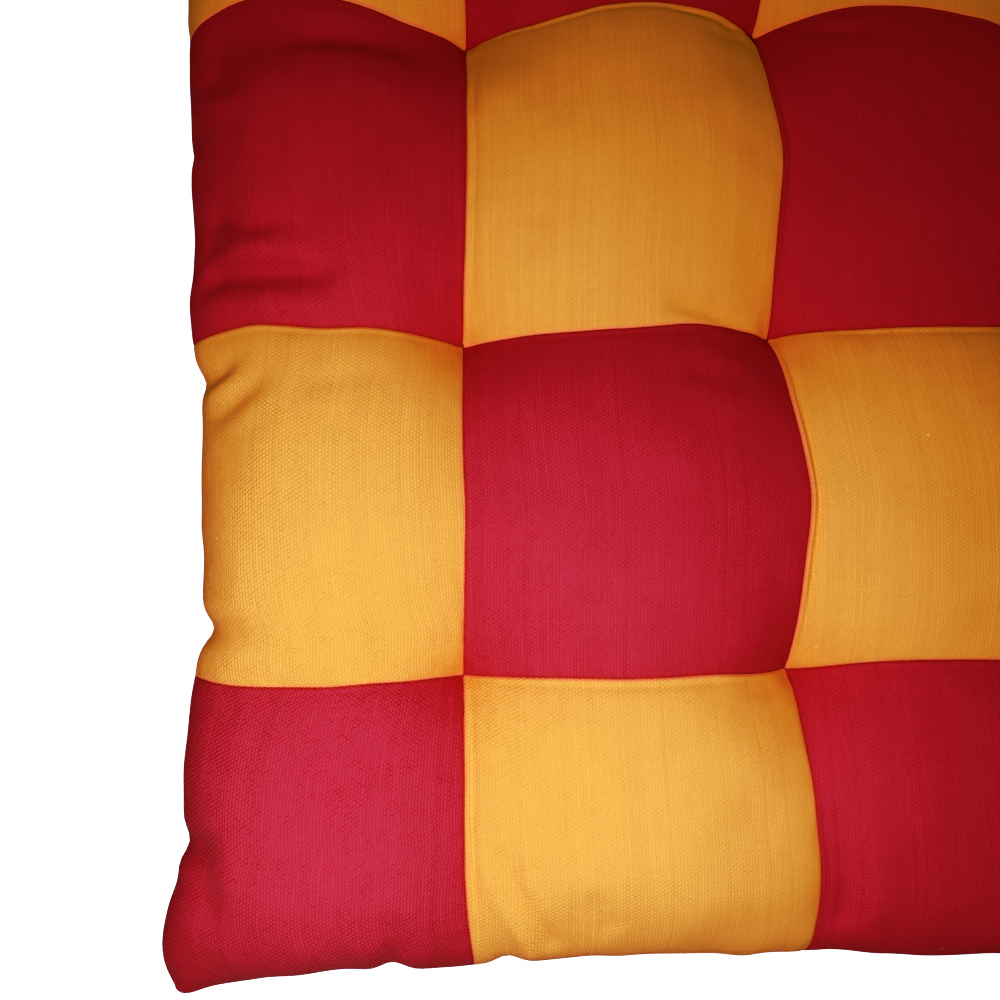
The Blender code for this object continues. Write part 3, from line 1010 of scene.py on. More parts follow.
    def thickened(self, mesh: bpy.types.Mesh, outer: int) -> bpy.types.Mesh:
        """Gives a sheet the thickness of its cloth, with the inner side in its own strip of the layout.

        Args:
            mesh: The outer side.
            outer: How many faces it has.

        Returns:
            The closed mesh.
        """
        holder = placed("holder", mesh)
        modifier = holder.modifiers.new("thickness", "SOLIDIFY")
        modifier.thickness = self.thickness
        modifier.offset = -1.0
        graph = bpy.context.evaluated_depsgraph_get()
        closed = bpy.data.meshes.new_from_object(holder.evaluated_get(graph))
        closed.name = mesh.name
        bpy.data.objects.remove(holder)
        bpy.data.meshes.remove(mesh)
        layout = closed.uv_layers[LAYOUT].data
        places = np.zeros(len(layout) * 2)
        layout.foreach_get("uv", places)
        places = places.reshape(-1, 2)
        top = self.uv_inside + 2 * self.uv_edge
        heights = places[:, 1]
        heights[: outer * 4] = top + heights[: outer * 4] * (1 - top - self.uv_edge)
        heights[outer * 4 :] = self.uv_edge + heights[outer * 4 :] * (self.uv_inside - self.uv_edge)
        layout.foreach_set("uv", places.ravel())
        closed.shade_smooth()
        return closed


Feed = object
Feeds = dict[str, object]


class Bench:
    """Places and joins nodes in one node tree."""

    def __init__(self, tree: bpy.types.NodeTree) -> None:
        """Keeps the tree."""
        self.tree = tree

    def node(self, kind: str, **settings: object) -> bpy.types.Node:
        """Adds a node and sets its own options."""
        node = self.tree.nodes.new(kind)
        for name, value in settings.items():
            setattr(node, name, value)
        return node

    def feed(self, socket: bpy.types.NodeSocket, value: Feed) -> None:
        """Joins a socket to another, or sets its value."""
        if isinstance(value, bpy.types.NodeSocket):
            self.tree.links.new(value, socket)
        else:
            socket.default_value = value

    def feeds(self, inputs: bpy.types.NodeInputs, values: Feeds) -> None:
        """Joins or sets sockets by name."""
        for label, value in values.items():
            self.feed(inputs[label], value)

    def math(self, operation: str, *values: Feed, clamp: bool = False) -> bpy.types.NodeSocket:
        """A math node's result."""
        node = self.node("ShaderNodeMath", operation=operation, use_clamp=clamp)
        for socket, value in zip(node.inputs, values):
            self.feed(socket, value)
        return node.outputs[0]

    def span(
        self, value: Feed, low: float, high: float, to_low: Feed = 0.0, to_high: Feed = 1.0
    ) -> bpy.types.NodeSocket:
        """A value eased from one range to another."""
        node = self.node("ShaderNodeMapRange", interpolation_type="SMOOTHSTEP")
        for socket, given in zip(node.inputs, (value, low, high, to_low, to_high)):
            self.feed(socket, given)
        return node.outputs[0]

    def mix(self, share: Feed, first: Feed, second: Feed) -> bpy.types.NodeSocket:
        """A blend of two colours."""
        node = self.node("ShaderNodeMix", data_type="RGBA")
        for number, value in ((0, share), (6, first), (7, second)):
            self.feed(node.inputs[number], value)
        return node.outputs[2]

    def noise(
        self, place: Feed, scale: float, detail: float = 2.0, rough: float = 0.5, output: str = "Fac"
    ) -> bpy.types.NodeSocket:
        """A noise texture."""
        node = self.node("ShaderNodeTexNoise")
        self.feeds(node.inputs, {"Vector": place, "Scale": scale, "Detail": detail, "Roughness": rough})
        return node.outputs[output]

    def joined(self, x: Feed, y: Feed, z: Feed = 0.0) -> bpy.types.NodeSocket:
        """A vector of three values."""
        node = self.node("ShaderNodeCombineXYZ")
        for socket, value in zip(node.inputs, (x, y, z)):
            self.feed(socket, value)
        return node.outputs[0]

    def apart(self, vector: Feed) -> bpy.types.NodeOutputs:
        """The three values of a vector."""
        node = self.node("ShaderNodeSeparateXYZ")
        self.feed(node.inputs[0], vector)
        return node.outputs

    def mark(self, label: str, output: str = "Fac") -> bpy.types.NodeSocket:
        """A value that the mesh carries."""
        node = self.node("ShaderNodeAttribute", attribute_type="GEOMETRY", attribute_name=label)
        return node.outputs[output]

    def bump(self, height: Feed, distance: float, strength: float = 1.0) -> bpy.types.NodeSocket:
        """A fine relief."""
        node = self.node("ShaderNodeBump")
        self.feeds(node.inputs, {"Height": height, "Strength": strength, "Distance": distance})
        return node.outputs[0]


def blank_material(name: str) -> tuple[bpy.types.Material, Bench, bpy.types.NodeInputs]:
    """Makes a new material.

    Args:
        name: Its name.

    Returns:
        The material, the bench of its node tree and the inputs of its shader.
    """
    material = bpy.data.materials.new(name)
    material.use_nodes = True
    return material, Bench(material.node_tree), material.node_tree.nodes["Principled BSDF"].inputs


FLOAT = "NodeSocketFloat"
COLOUR = "NodeSocketColor"
VECTOR = "NodeSocketVector"


class EffectGroup:
    """A shader node group that is built once and placed in each material with its own values."""

    name = "effect"
    takes: dict[str, str] = {}
    gives: dict[str, str] = {}

    def __init__(self) -> None:
        """Builds the group."""
        self.tree = bpy.data.node_groups.new(self.name, "ShaderNodeTree")
        for way, sockets in (("INPUT", self.takes), ("OUTPUT", self.gives)):
            for label, kind in sockets.items():
                self.tree.interface.new_socket(name=label, in_out=way, socket_type=kind)
        bench = Bench(self.tree)
        given = bench.node("NodeGroupInput").outputs
        bench.feeds(bench.node("NodeGroupOutput").inputs, self.fill(bench, given))

    def fill(self, bench: Bench, given: bpy.types.NodeOutputs) -> Feeds:
        """Makes the group's outputs.

        Args:
            bench: The group's tree.
            given: The group's inputs.

        Returns:
            A value or a socket for each output by name.
        """
        raise NotImplementedError

    def place(self, bench: Bench, values: Feeds) -> bpy.types.NodeOutputs:
        """Places the group in a material.

        Args:
            bench: The material's tree.
            values: A value or a socket for each input by name.

        Returns:
            The outputs of the placed group.
        """
        node = bench.node("ShaderNodeGroup", node_tree=self.tree)
        bench.feeds(node.inputs, values)
        return node.outputs


class PlainWeave(EffectGroup):
    """Threads that pass over and under one another: thick ones up the cloth, thin ones across it."""

    name = "plain weave"
    takes = {
        "Cloth": VECTOR,
        "Warp Pitch": FLOAT,
        "Weft Pitch": FLOAT,
        "Wander": FLOAT,
        "Twist": FLOAT,
        "Slub": FLOAT,
    }
    gives = {"Height": FLOAT, "Gap": FLOAT, "Yarn": FLOAT, "Streak": FLOAT}
    wander_scale = 0.11
    crossing_height = 0.42  # against the height of a warp thread
    slack_scale = 0.16
    slack_strengths = (0.75, 1.05)  # of the crossings in slack and in tight places
    cell_spread = 0.75  # how much single crossings differ in strength
    cell_least = 0.62
    slub_scales = (0.045, 0.05)  # along the warp and along the weft
    thread_apart = 7.31  # keeps the noise of neighbouring threads apart
    noise_height = 3.7
    warp_tone = 0.78  # share of the tone that the warp gives
    weft_tone = 0.22
    odd_power = 3.0  # so that only a few threads are odd
    streak_ends = (0.1, 1.0)
    narrow_power = 3.0  # keeps a streak to the top of its thread
    weft_streak = 0.1
    fuzz_scale = 2.6
    fuzz_height = 0.35
    gap_heights = (-0.35, 0.75)

    def fill(self, bench: Bench, given: bpy.types.NodeOutputs) -> Feeds:
        """Finds the height of the threads, the gaps between them and the tone of each yarn."""
        calc = bench.math
        drift = bench.apart(bench.noise(given["Cloth"], self.wander_scale, 3.0, output="Color"))
        place = bench.apart(given["Cloth"])
        turns = []
        for axis, pitch in ((0, "Warp Pitch"), (1, "Weft Pitch")):
            push = calc("SUBTRACT", drift[axis], 0.5)
            pushed = calc("MULTIPLY_ADD", push, given["Wander"], place[axis])
            turns.append(calc("DIVIDE", pushed, given[pitch]))
        warp_cell, weft_cell = (calc("FLOOR", turn) for turn in turns)
        warp = calc("SINE", calc("MULTIPLY", calc("FRACT", turns[0]), math.pi))
        waves = []
        for slant, share in (("SUBTRACT", "ADD"), ("ADD", "SUBTRACT")):
            wave = calc("COSINE", calc("MULTIPLY", calc(slant, *turns), math.pi))
            waves.append(calc("MULTIPLY", wave, calc(share, 1.0, given["Twist"])))
        crossing = calc("MULTIPLY", calc("SUBTRACT", *waves), self.crossing_height)
        slack = bench.noise(given["Cloth"], self.slack_scale)
        strength = bench.span(slack, 0.3, 0.7, *self.slack_strengths)
        cell = bench.node("ShaderNodeTexWhiteNoise", noise_dimensions="2D")
        bench.feed(cell.inputs["Vector"], bench.joined(warp_cell, weft_cell))
        uneven = calc("MULTIPLY_ADD", cell.outputs["Value"], self.cell_spread, self.cell_least)
        height = calc("MULTIPLY_ADD", crossing, calc("MULTIPLY", strength, uneven), warp)
        tones = []
        streaks = []
        threads = zip((warp_cell, weft_cell), reversed(turns), self.slub_scales)
        for across, along, scale in threads:
            apart = calc("MULTIPLY", across, self.thread_apart)
            thread = bench.joined(apart, calc("MULTIPLY", along, scale), self.noise_height)
            slub = bench.noise(thread, 1.0)
            own = bench.node("ShaderNodeTexWhiteNoise", noise_dimensions="1D")
            bench.feed(own.inputs["W"], across)
            tone = own.outputs["Value"]
            tones.append(calc("MULTIPLY_ADD", calc("SUBTRACT", slub, 0.5), given["Slub"], tone))
            odd = calc("POWER", calc("MULTIPLY_ADD", tone, 2.0, -1.0), self.odd_power)
            streaks.append(calc("MULTIPLY", odd, bench.span(slub, 0.4, 0.6, *self.streak_ends)))
        fuzz = bench.noise(given["Cloth"], self.fuzz_scale)
        narrow = calc("MULTIPLY", streaks[0], calc("POWER", warp, self.narrow_power))
        yarn = calc("MULTIPLY", tones[0], self.warp_tone)
        return {
            "Height": calc("MULTIPLY_ADD", fuzz, self.fuzz_height, height),
            "Gap": bench.span(height, *self.gap_heights, 1.0, 0.0),
            "Yarn": calc("MULTIPLY_ADD", tones[1], self.weft_tone, yarn),
            "Streak": calc("MULTIPLY_ADD", streaks[1], self.weft_streak, narrow),
        }


class DyedYarnAndGapShade(EffectGroup):
    """Uneven dye: thread by thread, in soft clouds over the cloth, and in a few pale flecks; with painted
    shade that darkens the gaps between the threads.
    """

    name = "dyed yarn and gap shade"
    takes = {
        "Color": COLOUR,
        "Hollow Shade Color": COLOUR,
        "Fleck Color": COLOUR,
        "Cloth": VECTOR,
        "Yarn": FLOAT,
        "Gap": FLOAT,
        "Streak": FLOAT,
        "Thread Tone": FLOAT,
        "Streak Tone": FLOAT,
        "Cloud Tone": FLOAT,
        "Gap Shade": FLOAT,
    }
    gives = {"Color": COLOUR}
    cloud_scale = 0.035
    speck_scale = 1.1
    fibre_scale = 2.9
    fibre_share = 2.5  # of the fibres against the specks
    uneven_mean = 1.75  # of the specks and fibres together
    fleck_scale = 0.045
    fleck_edges = (0.012, 0.020)

    def fill(self, bench: Bench, given: bpy.types.NodeOutputs) -> Feeds:
        """Mixes the tones over the plain colour, and mixes painted shade into the gaps between threads."""
        calc = bench.math
        cloud = bench.noise(given["Cloth"], self.cloud_scale, 4.0, 0.55)
        speck = bench.noise(given["Cloth"], self.speck_scale, 2.0, 0.6)
        fibres = bench.noise(given["Cloth"], self.fibre_scale, 1.0)
        clouds = calc("MULTIPLY", calc("SUBTRACT", cloud, 0.5), given["Cloud Tone"])
        threads = calc("MULTIPLY", calc("SUBTRACT", given["Yarn"], 0.5), given["Thread Tone"])
        uneven = calc("SUBTRACT", speck, self.uneven_mean)
        uneven = calc("MULTIPLY_ADD", fibres, self.fibre_share, uneven)
        specks = calc("MULTIPLY", uneven, given["Thread Tone"])
        streaks = calc("MULTIPLY_ADD", given["Streak"], given["Streak Tone"], 1.0)
        tone = calc("ADD", calc("ADD", clouds, threads), calc("ADD", specks, streaks))
        scaled = bench.node("ShaderNodeVectorMath", operation="SCALE")
        bench.feed(scaled.inputs[0], given["Color"])
        bench.feed(scaled.inputs["Scale"], tone)
        # painted shade: the gaps between threads are mixed towards the darker colour
        hollow_shade = calc("MULTIPLY", given["Gap"], given["Gap Shade"])
        colour = bench.mix(hollow_shade, scaled.outputs[0], given["Hollow Shade Color"])
        dots = bench.node("ShaderNodeTexVoronoi", feature="F1")
        bench.feeds(dots.inputs, {"Vector": given["Cloth"], "Scale": self.fleck_scale})
        fleck = bench.span(dots.outputs["Distance"], *self.fleck_edges, 1.0, 0.0)
        return {"Color": bench.mix(fleck, colour, given["Fleck Color"])}


class SeamBounceShade(EffectGroup):
    """Painted light where the cloth turns down into a seam: a painted reflection of the neighbour's colour
    where the tint is brighter, and painted shade where it is darker.
    """

    name = "seam bounce shade"
    takes = {"Color": COLOUR, "Tint": COLOUR, "Distance": FLOAT, "Reach": FLOAT, "Amount": FLOAT}
    gives = {"Color": COLOUR}

    def fill(self, bench: Bench, given: bpy.types.NodeOutputs) -> Feeds:
        """Fades the painted light in towards the seam."""
        away = bench.math("DIVIDE", given["Distance"], given["Reach"])
        share = bench.math("SUBTRACT", 1.0, away, clamp=True)
        share = bench.math("MULTIPLY", share, given["Amount"])
        return {"Color": bench.mix(share, given["Color"], given["Tint"])}


Colour = tuple[float, float, float, float]


@dataclass(frozen=True)
class CottonFinish:
    """Coarse plain-weave cotton of one dye."""

    cotton: Cotton
    colour: Colour
    # colour of the painted shade in the gaps between threads
    hollow_shade: Colour
    fleck: Colour
    # colour of the painted light at the seams: a brighter painted reflection of the red neighbour on
    # yellow, painted shade on red
    seam_bounce_shade: Colour
    twist: float = 0.12
    wander: float = 0.5
    slub: float = 1.6
    seam_reach: float = 0.9
    seam_amount: float = 0.6
    warp_pitch: float = 0.98
    weft_pitch: float = 0.64
    thread_tone: float = 0.055
    streak_tone: float = 0.045  # how much a few odd warp threads stand out
    cloud_tone: float = 0.10
    # how dark the painted shade in the gaps between threads is
    gap_shade: float = 0.66
    roughness: float = 0.89
    roughness_spread: float = 0.06  # from yarn to yarn
    specular: float = 0.12
    relief: float = 0.00010
    relief_strength: float = 0.75
    sheen: float = 0.02
    sheen_roughness: float = 0.55
    sheen_tint: Colour = (1.0, 0.8, 0.75, 1.0)

    def material(self, weave: PlainWeave, dye: DyedYarnAndGapShade, tint: SeamBounceShade) -> bpy.types.Material:
        """Makes the material.

        Args:
            weave: The weave group.
            dye: The group of dye and painted gap shade.
            tint: The group of painted light at the seams.

        Returns:
            The material, named as its slot.
        """
        material, bench, shader = blank_material(self.cotton.value)
        cloth = bench.mark("cloth", "Vector")
        clarity = bench.mark("clarity")
        weaving = {
            "Cloth": cloth,
            "Warp Pitch": self.warp_pitch,
            "Weft Pitch": self.weft_pitch,
            "Wander": self.wander,
            "Twist": self.twist,
            "Slub": self.slub,
        }
        woven = weave.place(bench, weaving)
        dyeing = {
            "Color": self.colour,
            # painted shade in the weave's gaps: its colour here, its strength below
            "Hollow Shade Color": self.hollow_shade,
            "Fleck Color": self.fleck,
            "Cloth": cloth,
            "Thread Tone": self.thread_tone,
            "Streak Tone": bench.math("MULTIPLY", clarity, self.streak_tone),
            "Cloud Tone": self.cloud_tone,
            "Gap Shade": bench.math("MULTIPLY", clarity, self.gap_shade),
        }
        dyed = dye.place(bench, dyeing | {label: woven[label] for label in ("Yarn", "Gap", "Streak")})
        # painted light at the seams: painted reflection on yellow, painted shade on red
        tinting = {
            "Color": dyed["Color"],
            "Tint": self.seam_bounce_shade,
            "Distance": bench.mark("seam"),
            "Reach": self.seam_reach,
            "Amount": self.seam_amount,
        }
        height = bench.math("MULTIPLY", clarity, woven["Height"])
        rough = bench.math("MULTIPLY_ADD", woven["Yarn"], self.roughness_spread, self.roughness)
        look = {
            "Base Color": tint.place(bench, tinting)["Color"],
            "Roughness": rough,
            "Normal": bench.bump(height, self.relief, self.relief_strength),
            "Metallic": 0.0,
            "Specular IOR Level": self.specular,
            "Sheen Weight": self.sheen,
            "Sheen Roughness": self.sheen_roughness,
            "Sheen Tint": self.sheen_tint,
        }
        bench.feeds(shader, look)
        return material


@dataclass(frozen=True)
class ThreadFinish:
    """Twisted cotton sewing thread."""

    colour: Colour = (0.3, 0.02, 0.03, 1.0)
    # colour of the painted shade in the grooves between the plies
    hollow_shade: Colour = (0.09, 0.006, 0.012, 1.0)
    ply_pitch: float = 0.55
    roughness: float = 0.7
    roughness_spread: float = -0.1
    relief: float = 0.00006
    sheen: float = 0.1

    def material(self) -> bpy.types.Material:
        """Makes the material, with the plies winding round the thread and painted shade in the grooves
        between them.
        """
        material, bench, shader = blank_material("sewing_thread")
        ply = bench.apart(bench.mark("ply", "Vector"))
        turns = bench.math("MULTIPLY_ADD", ply[0], 1 / self.ply_pitch, ply[1])
        wave = bench.math("SINE", bench.math("MULTIPLY", turns, 2 * math.pi))
        share = bench.math("MULTIPLY_ADD", wave, 0.5, 0.5)
        look = {
            # painted shade: the grooves between the plies are mixed towards the darker colour
            "Base Color": bench.mix(share, self.hollow_shade, self.colour),
            "Roughness": bench.math("MULTIPLY_ADD", share, self.roughness_spread, self.roughness),
            "Normal": bench.bump(share, self.relief),
            "Sheen Weight": self.sheen,
        }
        bench.feeds(shader, look)
        return material


def add_piece(name: str, mesh: bpy.types.Mesh, material: bpy.types.Material) -> bpy.types.Object:
    """Adds a piece of the object, which rides on the one body.

    Args:
        name: Name of the piece.
        mesh: Its mesh.
        material: Its material.

    Returns:
        The new object.
    """
    mesh.materials.clear()
    mesh.materials.append(material)
    piece = placed(name, mesh)
    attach(piece, BODY)
    LOG.info("%s: %d faces", name, len(mesh.polygons))
    return piece


@dataclass
class PatchworkFace:
    """The face: four rows of four patches in a checkerboard of red and yellow."""

    tailor: Tailor
    materials: dict[Cotton, bpy.types.Material]
    fill: float = 0.75
    twist_deg: float = 0.7
    seed: int = 3
    cuts: Pair = (200, 900)  # range of the places in the cloth that patches are cut from

    def build(self) -> list[bpy.types.Object]:
        """Builds the sixteen patches and returns them."""
        draws = np.random.RandomState(self.seed)
        columns, rows = (
            [self.tailor.spaced(number, upwards, Side.FACE) for number in range(PATCHES)]
            for upwards in (False, True)
        )
        patches = []
        for column, across in enumerate(columns):
            for row, up in enumerate(rows):
                twist = math.radians(draws.uniform(-self.twist_deg, self.twist_deg))
                seed = draws.uniform(*self.cuts)
                patches.append(self.patch(column, row, self.cut(column, row, across, up), twist, seed))
        return patches

    @staticmethod
    def cut(column: int, row: int, across: Lines, up: Lines) -> Cut:
        """Finds where a patch is cut.

        Args:
            column: Its column from the left.
            row: Its row from the bottom.
            across: Lines of its columns of points.
            up: Lines of its rows of points.

        Returns:
            The cut, with its rims and the allowances that show in it.
        """
        last = PATCHES - 1
        ends = (
            (Edge.LEFT, column, 0),
            (Edge.RIGHT, column, last),
            (Edge.BOTTOM, row, 0),
            (Edge.TOP, row, last),
        )
        strips = {}
        if column:
            strips[Edge.LEFT] = STRIPS_UP[column - 1][row]
        if row < last:
            strips[Edge.TOP] = STRIPS_ACROSS[row][column]
        rims = tuple(edge for edge, place, end in ends if place == end)
        return Cut(across, up, Side.FACE, rims, strips)

    def patch(self, column: int, row: int, cut: Cut, twist: float, seed: float) -> bpy.types.Object:
        """Builds one patch.

        Args:
            column: Its column from the left.
            row: Its row from the bottom.
            cut: Where it is cut.
            twist: How far its weave is turned, in radians.
            seed: Where in the cloth it was cut.

        Returns:
            The piece.
        """
        cotton = Cotton.RED if (column + row) % 2 == 0 else Cotton.YELLOW
        name = f"patch_{column + 1}_{row + 1}"
        mesh = self.tailor.mesh(name, self.tailor.sheet(cut), Side.FACE, twist, seed)
        piece = add_piece(name, mesh, self.materials[cotton])
        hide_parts(NODE)
        return piece


@dataclass
class BackPanel:
    """The back: one plain square of red cotton, held by the tufts and pressed flat on the floor."""

    tailor: Tailor
    material: bpy.types.Material
    fill: float = 0.75
    step_mm: float = 3.0
    seed: float = 1210.0
    low_kept: tuple[int, ...] = (0, 5, 7, 9, 11)  # lines kept just after an inner seam
    high_kept: tuple[int, ...] = (-12, -10, -8, -6, -1)  # lines kept just before one

    def lines(self, upwards: bool) -> Lines:
        """Places of the panel's lines, close together at the rim and at the tufts."""
        places = []
        count = len(self.tailor.seam_steps_mm)
        for patch in range(PATCHES):
            fine = self.tailor.spaced(patch, upwards, Side.BACK)
            low = fine[:count] if patch == 0 else fine[list(self.low_kept)]
            high = fine[-count:] if patch == PATCHES - 1 else fine[list(self.high_kept)]
            steps = round((fine[-count] - fine[count - 1]) * self.tailor.form.pitch_x / MM / self.step_mm)
            middle = np.linspace(fine[count - 1], fine[-count], steps + 1)
            places.extend((low, middle, high))
        return np.unique(np.round(np.concatenate(places), 6))

    def build(self) -> bpy.types.Object:
        """Builds the panel and returns it."""
        sheet = self.tailor.sheet(Cut(self.lines(False), self.lines(True), Side.BACK, tuple(Edge)))
        sheet.points[..., 2] = self.tailor.form.pressed(sheet.points[..., 2])
        mesh = self.tailor.mesh("back_panel", sheet, Side.BACK, 0.0, self.seed)
        piece = add_piece("back_panel", mesh, self.material)
        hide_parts(NODE)
        return piece


@dataclass
class TuftStitches:
    """The tufting stitches: a short bar of thread on the face, and a bar with a knot on the back."""

    tailor: Tailor
    material: bpy.types.Material
    radius: float = 0.00022
    sides: int = 10
    parts: int = 5  # stretches of thread between two stops
    first_upright: tuple[float, float, float] = (0.31, 0.2, 0.93)  # along none of the thread
    knot_turn: float = 0.9  # from the bar on the face to the bar on the back, in radians
    seed: int = 8

    def smoothed(self, stops: np.ndarray) -> np.ndarray:
        """Makes a smooth path.

        Args:
            stops: Points that it runs through.

        Returns:
            Points close together along it.
        """
        ends = np.vstack((2 * stops[0] - stops[1], stops, 2 * stops[-1] - stops[-2]))
        weights = np.stack(curve_parts(np.linspace(0, 1, self.parts, endpoint=False)), axis=-1)
        path = [weights @ ends[first : first + 4] for first in range(len(stops) - 1)]
        return np.vstack((*path, stops[-1]))

    def tube(self, name: str, path: np.ndarray) -> bpy.types.Mesh:
        """Makes a thread along a path.

        Args:
            name: Name of the mesh.
            path: Points of its middle line.

        Returns:
            A closed tube with its plies marked.
        """
        angles = np.arange(self.sides) / self.sides
        upright = Vector(self.first_upright)
        points = []
        marks = []
        walked = 0.0
        for number, point in enumerate(path):
            ahead = path[min(number + 1, len(path) - 1)] - path[max(number - 1, 0)]
            run = Vector(ahead).normalized()
            first = upright.cross(run).normalized()
            upright = run.cross(first).normalized()
            if number:
                walked += float(np.linalg.norm(point - path[number - 1])) / MM
            for angle in angles:
                around = first * math.cos(2 * math.pi * angle) + upright * math.sin(2 * math.pi * angle)
                points.append(tuple(Vector(point) + around * self.radius))
                marks.extend((walked, angle, 0.0))
        count = self.sides
        faces = [tuple(range(count))[::-1], tuple(range(len(points) - count, len(points)))]
        for low in range(0, len(points) - count, count):
            for spot in range(count):
                beside = (spot + 1) % count
                faces.append((low + spot, low + beside, low + count + beside, low + count + spot))
        mesh = bpy.data.meshes.new(name)
        mesh.from_pydata(points, [], faces)
        mesh.attributes.new("ply", "FLOAT_VECTOR", "POINT").data.foreach_set("vector", marks)
        mesh.shade_smooth()
        return mesh

    def anchor(self, tuft: Crossing, side: Side) -> np.ndarray:
        """Where the stitch passes through the cloth of a side."""
        point = self.tailor.form.crossing(tuft, side)
        work = self.tailor.seams
        point[2] += work.tuft_dip if side is Side.BACK else -work.tuft_dip - work.groove
        return point

    def stitch(self, tuft: Crossing, turn: float) -> bpy.types.Object:
        """Builds one stitch.

        Args:
            tuft: The crossing that it holds.
            turn: Direction of its bar on the face, in radians.

        Returns:
            The piece.
        """
        face = self.anchor(tuft, Side.FACE)
        back = self.anchor(tuft, Side.BACK)
        bar, under = ((math.cos(way), math.sin(way), 0.0) for way in (turn, turn + self.knot_turn))
        ways = np.array((bar, under, (0.0, 0.0, 1.0)))
        table = np.array(STITCH_STOPS)
        stops = back + table[:, :1] * (face - back) + table[:, 1:] @ ways * MM
        name = "tuft_stitch_{}_{}".format(*tuft)
        return add_piece(name, self.tube(name, self.smoothed(stops)), self.material)

    def build(self) -> list[bpy.types.Object]:
        """Builds the nine stitches and returns them."""
        draws = np.random.RandomState(self.seed)
        return [self.stitch(tuft, math.pi / 2 + draws.uniform(-0.5, 0.5)) for tuft in TUFTS]


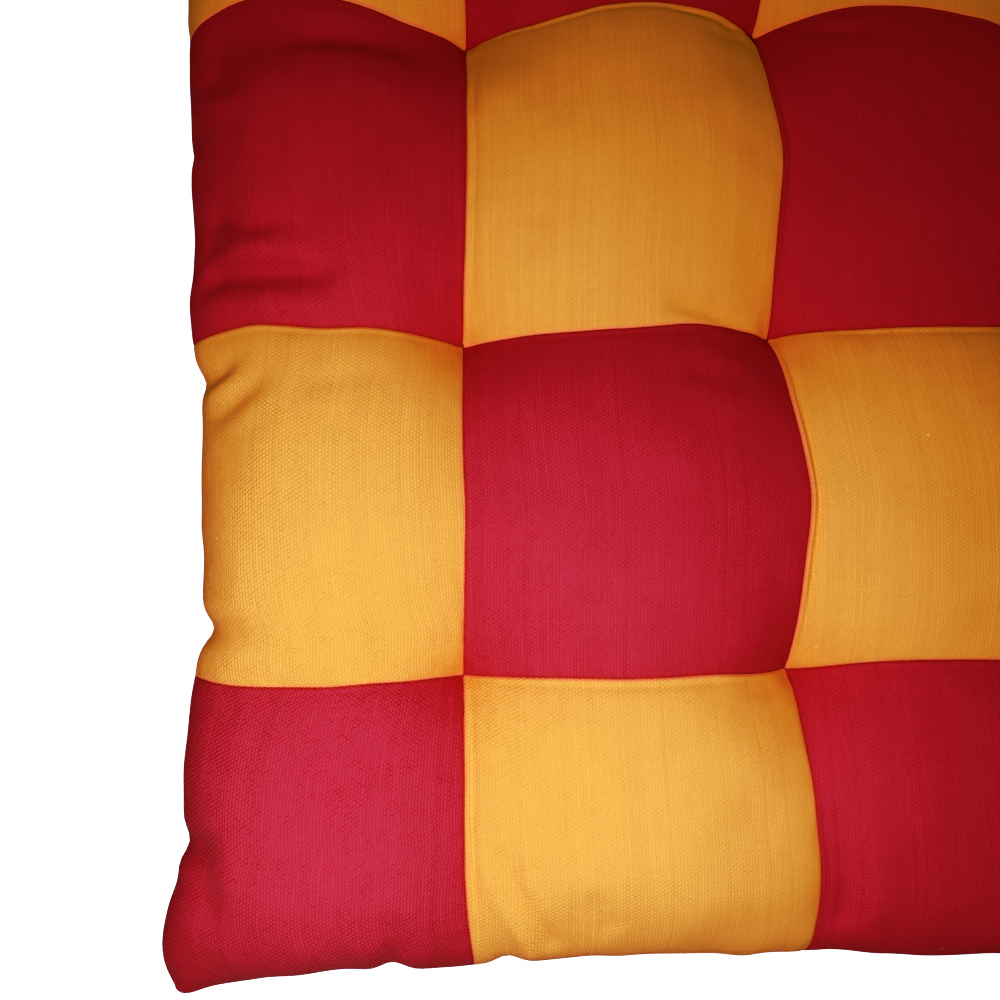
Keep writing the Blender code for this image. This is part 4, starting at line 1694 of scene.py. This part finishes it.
@dataclass
class Studio:
    """Camera, soft lights and the pale floor."""

    camera_place: tuple[float, float, float] = (-0.10938, -0.08419, 0.3169)
    camera_turn_deg: tuple[float, float, float] = (6.78, -3.58, -1.19)
    lens: float = 32.4
    key_place: tuple[float, float, float] = (-0.1345, -0.1365, 0.2980)
    key_target: tuple[float, float, float] = (-0.1310, -0.1400, 0.0)
    key_size: float = 0.08
    key_power: float = 0.845
    fill_place: tuple[float, float, float] = (0.34, 0.36, 0.62)
    fill_target: tuple[float, float, float] = (0.14, 0.14, 0.04)
    fill_size: float = 0.4
    fill_power: float = 0.3
    ambient: float = 0.16
    floor_half: float = 20.0
    floor_drop: float = 0.0003
    floor_colour: Colour = (0.5, 0.5, 0.5, 1.0)
    floor_roughness: float = 0.9
    floor_specular: float = 0.1
    floor_glow: float = 1.9
    white: Colour = (1.0, 1.0, 1.0, 1.0)
    # How a camera's own curves bend the light: light in, light out, for all, after each colour
    curve: tuple[Pair, ...] = (
        (0.0, 0.0), (0.02, 0.005), (0.045, 0.023), (0.09, 0.08), (0.15, 0.145), (0.30, 0.30),
        (0.55, 0.55), (0.70, 0.64), (0.85, 0.745), (1.0, 0.85), (1.15, 0.93), (1.4, 0.98),
        (1.9, 1.0),
    )
    red_curve: tuple[Pair, ...] = (
        (0.0, 0.0), (0.10, 0.088), (0.198, 0.171), (0.227, 0.196), (0.283, 0.251),
        (0.366, 0.338), (0.402, 0.381), (0.456, 0.446), (0.515, 0.513), (1.9, 1.9),
    )
    green_curve: tuple[Pair, ...] = (
        (0.0, 0.0), (0.012, 0.0100), (0.020, 0.0158), (0.026, 0.0194), (0.033, 0.0264),
        (0.0385, 0.0368), (0.043, 0.0458), (0.050, 0.0515), (0.062, 0.0588), (0.085, 0.0665),
        (0.112, 0.0740), (0.135, 0.0820), (0.152, 0.0930), (0.183, 0.1220), (0.212, 0.1650),
        (0.2555, 0.2230), (0.305, 0.2960), (0.355, 0.3710), (0.410, 0.4370), (0.550, 0.5708),
        (1.9, 1.9),
    )
    blue_curve: tuple[Pair, ...] = (
        (0.0, 0.0), (0.012, 0.0080), (0.020, 0.0140), (0.0295, 0.0208), (0.0346, 0.0243),
        (0.0393, 0.0278), (0.0450, 0.0338), (0.0508, 0.0430), (0.060, 0.0582), (0.069, 0.0742),
        (0.105, 0.1140), (0.200, 0.2120), (0.550, 0.5678), (1.9, 1.9),
    )

    def camera(self) -> None:
        """Sets the camera at the photograph's place and angle."""
        data = bpy.data.cameras.new("camera")
        data.lens = self.lens
        data.sensor_width = 36.0
        data.clip_start = 0.01
        camera = placed("camera", data)
        camera.location = self.camera_place
        camera.rotation_euler = [math.radians(angle) for angle in self.camera_turn_deg]
        bpy.context.scene.camera = camera

    @staticmethod
    def lamp(
        name: str, place: Sequence[float], target: Sequence[float], size: float, power: float
    ) -> None:
        """Adds a soft round light.

        Args:
            name: Its name.
            place: Where it stands.
            target: The point that it faces.
            size: Its diameter.
            power: Its power in watts.
        """
        data = bpy.data.lights.new(name, "AREA")
        data.shape = "DISK"
        data.size = size
        data.energy = power
        light = placed(name, data)
        light.location = place
        aim = Vector(target) - Vector(place)
        light.rotation_euler = aim.to_track_quat("-Z", "Y").to_euler()
        light.visible_camera = False

    def surroundings(self) -> None:
        """Lights the room evenly, with a pale background, and sets the camera's curve."""
        world = bpy.data.worlds.new("studio")
        world.use_nodes = True
        bench = Bench(world.node_tree)
        seen = bench.node("ShaderNodeLightPath").outputs["Is Camera Ray"]
        bright = bench.math("MULTIPLY_ADD", seen, self.floor_glow - self.ambient, self.ambient)
        back = world.node_tree.nodes["Background"]
        bench.feeds(back.inputs, {"Color": self.white, "Strength": bright})
        scene = bpy.context.scene
        scene.world = world
        view = scene.view_settings
        view.view_transform = "Standard"
        view.look = "None"
        view.use_curve_mapping = True
        mapping = view.curve_mapping
        mapping.use_clip = False
        tables = (self.red_curve, self.green_curve, self.blue_curve, self.curve)
        for line, pairs in zip(mapping.curves, tables):
            line.points[0].location = pairs[0]
            line.points[1].location = pairs[-1]
            for low, high in pairs[1:-1]:
                line.points.new(low, high)
        mapping.update()

    def floor(self) -> None:
        """Lays the pale floor, which looks near white and throws little light on the cushion."""
        half = self.floor_half
        mesh = bpy.data.meshes.new("floor")
        corners = [(-half, -half, 0), (half, -half, 0), (half, half, 0), (-half, half, 0)]
        mesh.from_pydata(corners, [], [(0, 1, 2, 3)])
        floor = placed("floor", mesh)
        floor.location.z = -self.floor_drop
        material, bench, shader = blank_material("floor")
        seen = bench.node("ShaderNodeLightPath").outputs["Is Camera Ray"]
        look = {
            "Base Color": self.floor_colour,
            "Roughness": self.floor_roughness,
            "Specular IOR Level": self.floor_specular,
            "Emission Color": self.white,
            "Emission Strength": bench.math("MULTIPLY", seen, self.floor_glow),
        }
        bench.feeds(shader, look)
        mesh.materials.append(material)

    def build(self) -> None:
        """Sets the whole studio."""
        self.camera()
        self.lamp("key", self.key_place, self.key_target, self.key_size, self.key_power)
        self.lamp("fill", self.fill_place, self.fill_target, self.fill_size, self.fill_power)
        self.surroundings()
        self.floor()


RED = CottonFinish(
    cotton=Cotton.RED,
    colour=(0.445, 0.0312, 0.050, 1.0),
    hollow_shade=(0.305, 0.0132, 0.025, 1.0),
    fleck=(0.80, 0.28, 0.30, 1.0),
    # painted shade along the seams
    seam_bounce_shade=(0.30, 0.026, 0.014, 1.0),
    twist=0.15,
    streak_tone=0.08,
    seam_reach=1.2,
    seam_amount=0.75,
)
YELLOW = CottonFinish(
    cotton=Cotton.YELLOW,
    colour=(0.862, 0.340, 0.065, 1.0),
    hollow_shade=(0.60, 0.211, 0.0261, 1.0),
    fleck=(0.95, 0.56, 0.22, 1.0),
    # painted reflection of the red neighbours along the seams
    seam_bounce_shade=(1.0, 0.25, 0.085, 1.0),
    seam_reach=0.95,
    seam_amount=1.35,
    gap_shade=0.56,
)


def main() -> None:
    """Builds the studio, the cover and the stitches in order."""
    logging.basicConfig(level=logging.INFO, format="%(message)s")
    Studio().build()
    form = CushionForm()
    form.settled = Settling().run(form)
    tailor = Tailor(form, SeamWork())
    groups = (PlainWeave(), DyedYarnAndGapShade(), SeamBounceShade())
    materials = {finish.cotton: finish.material(*groups) for finish in (RED, YELLOW)}
    PatchworkFace(tailor, materials).build()
    BackPanel(tailor, materials[Cotton.RED]).build()
    TuftStitches(tailor, ThreadFinish().material()).build()


if __name__ == "__main__":
    main()
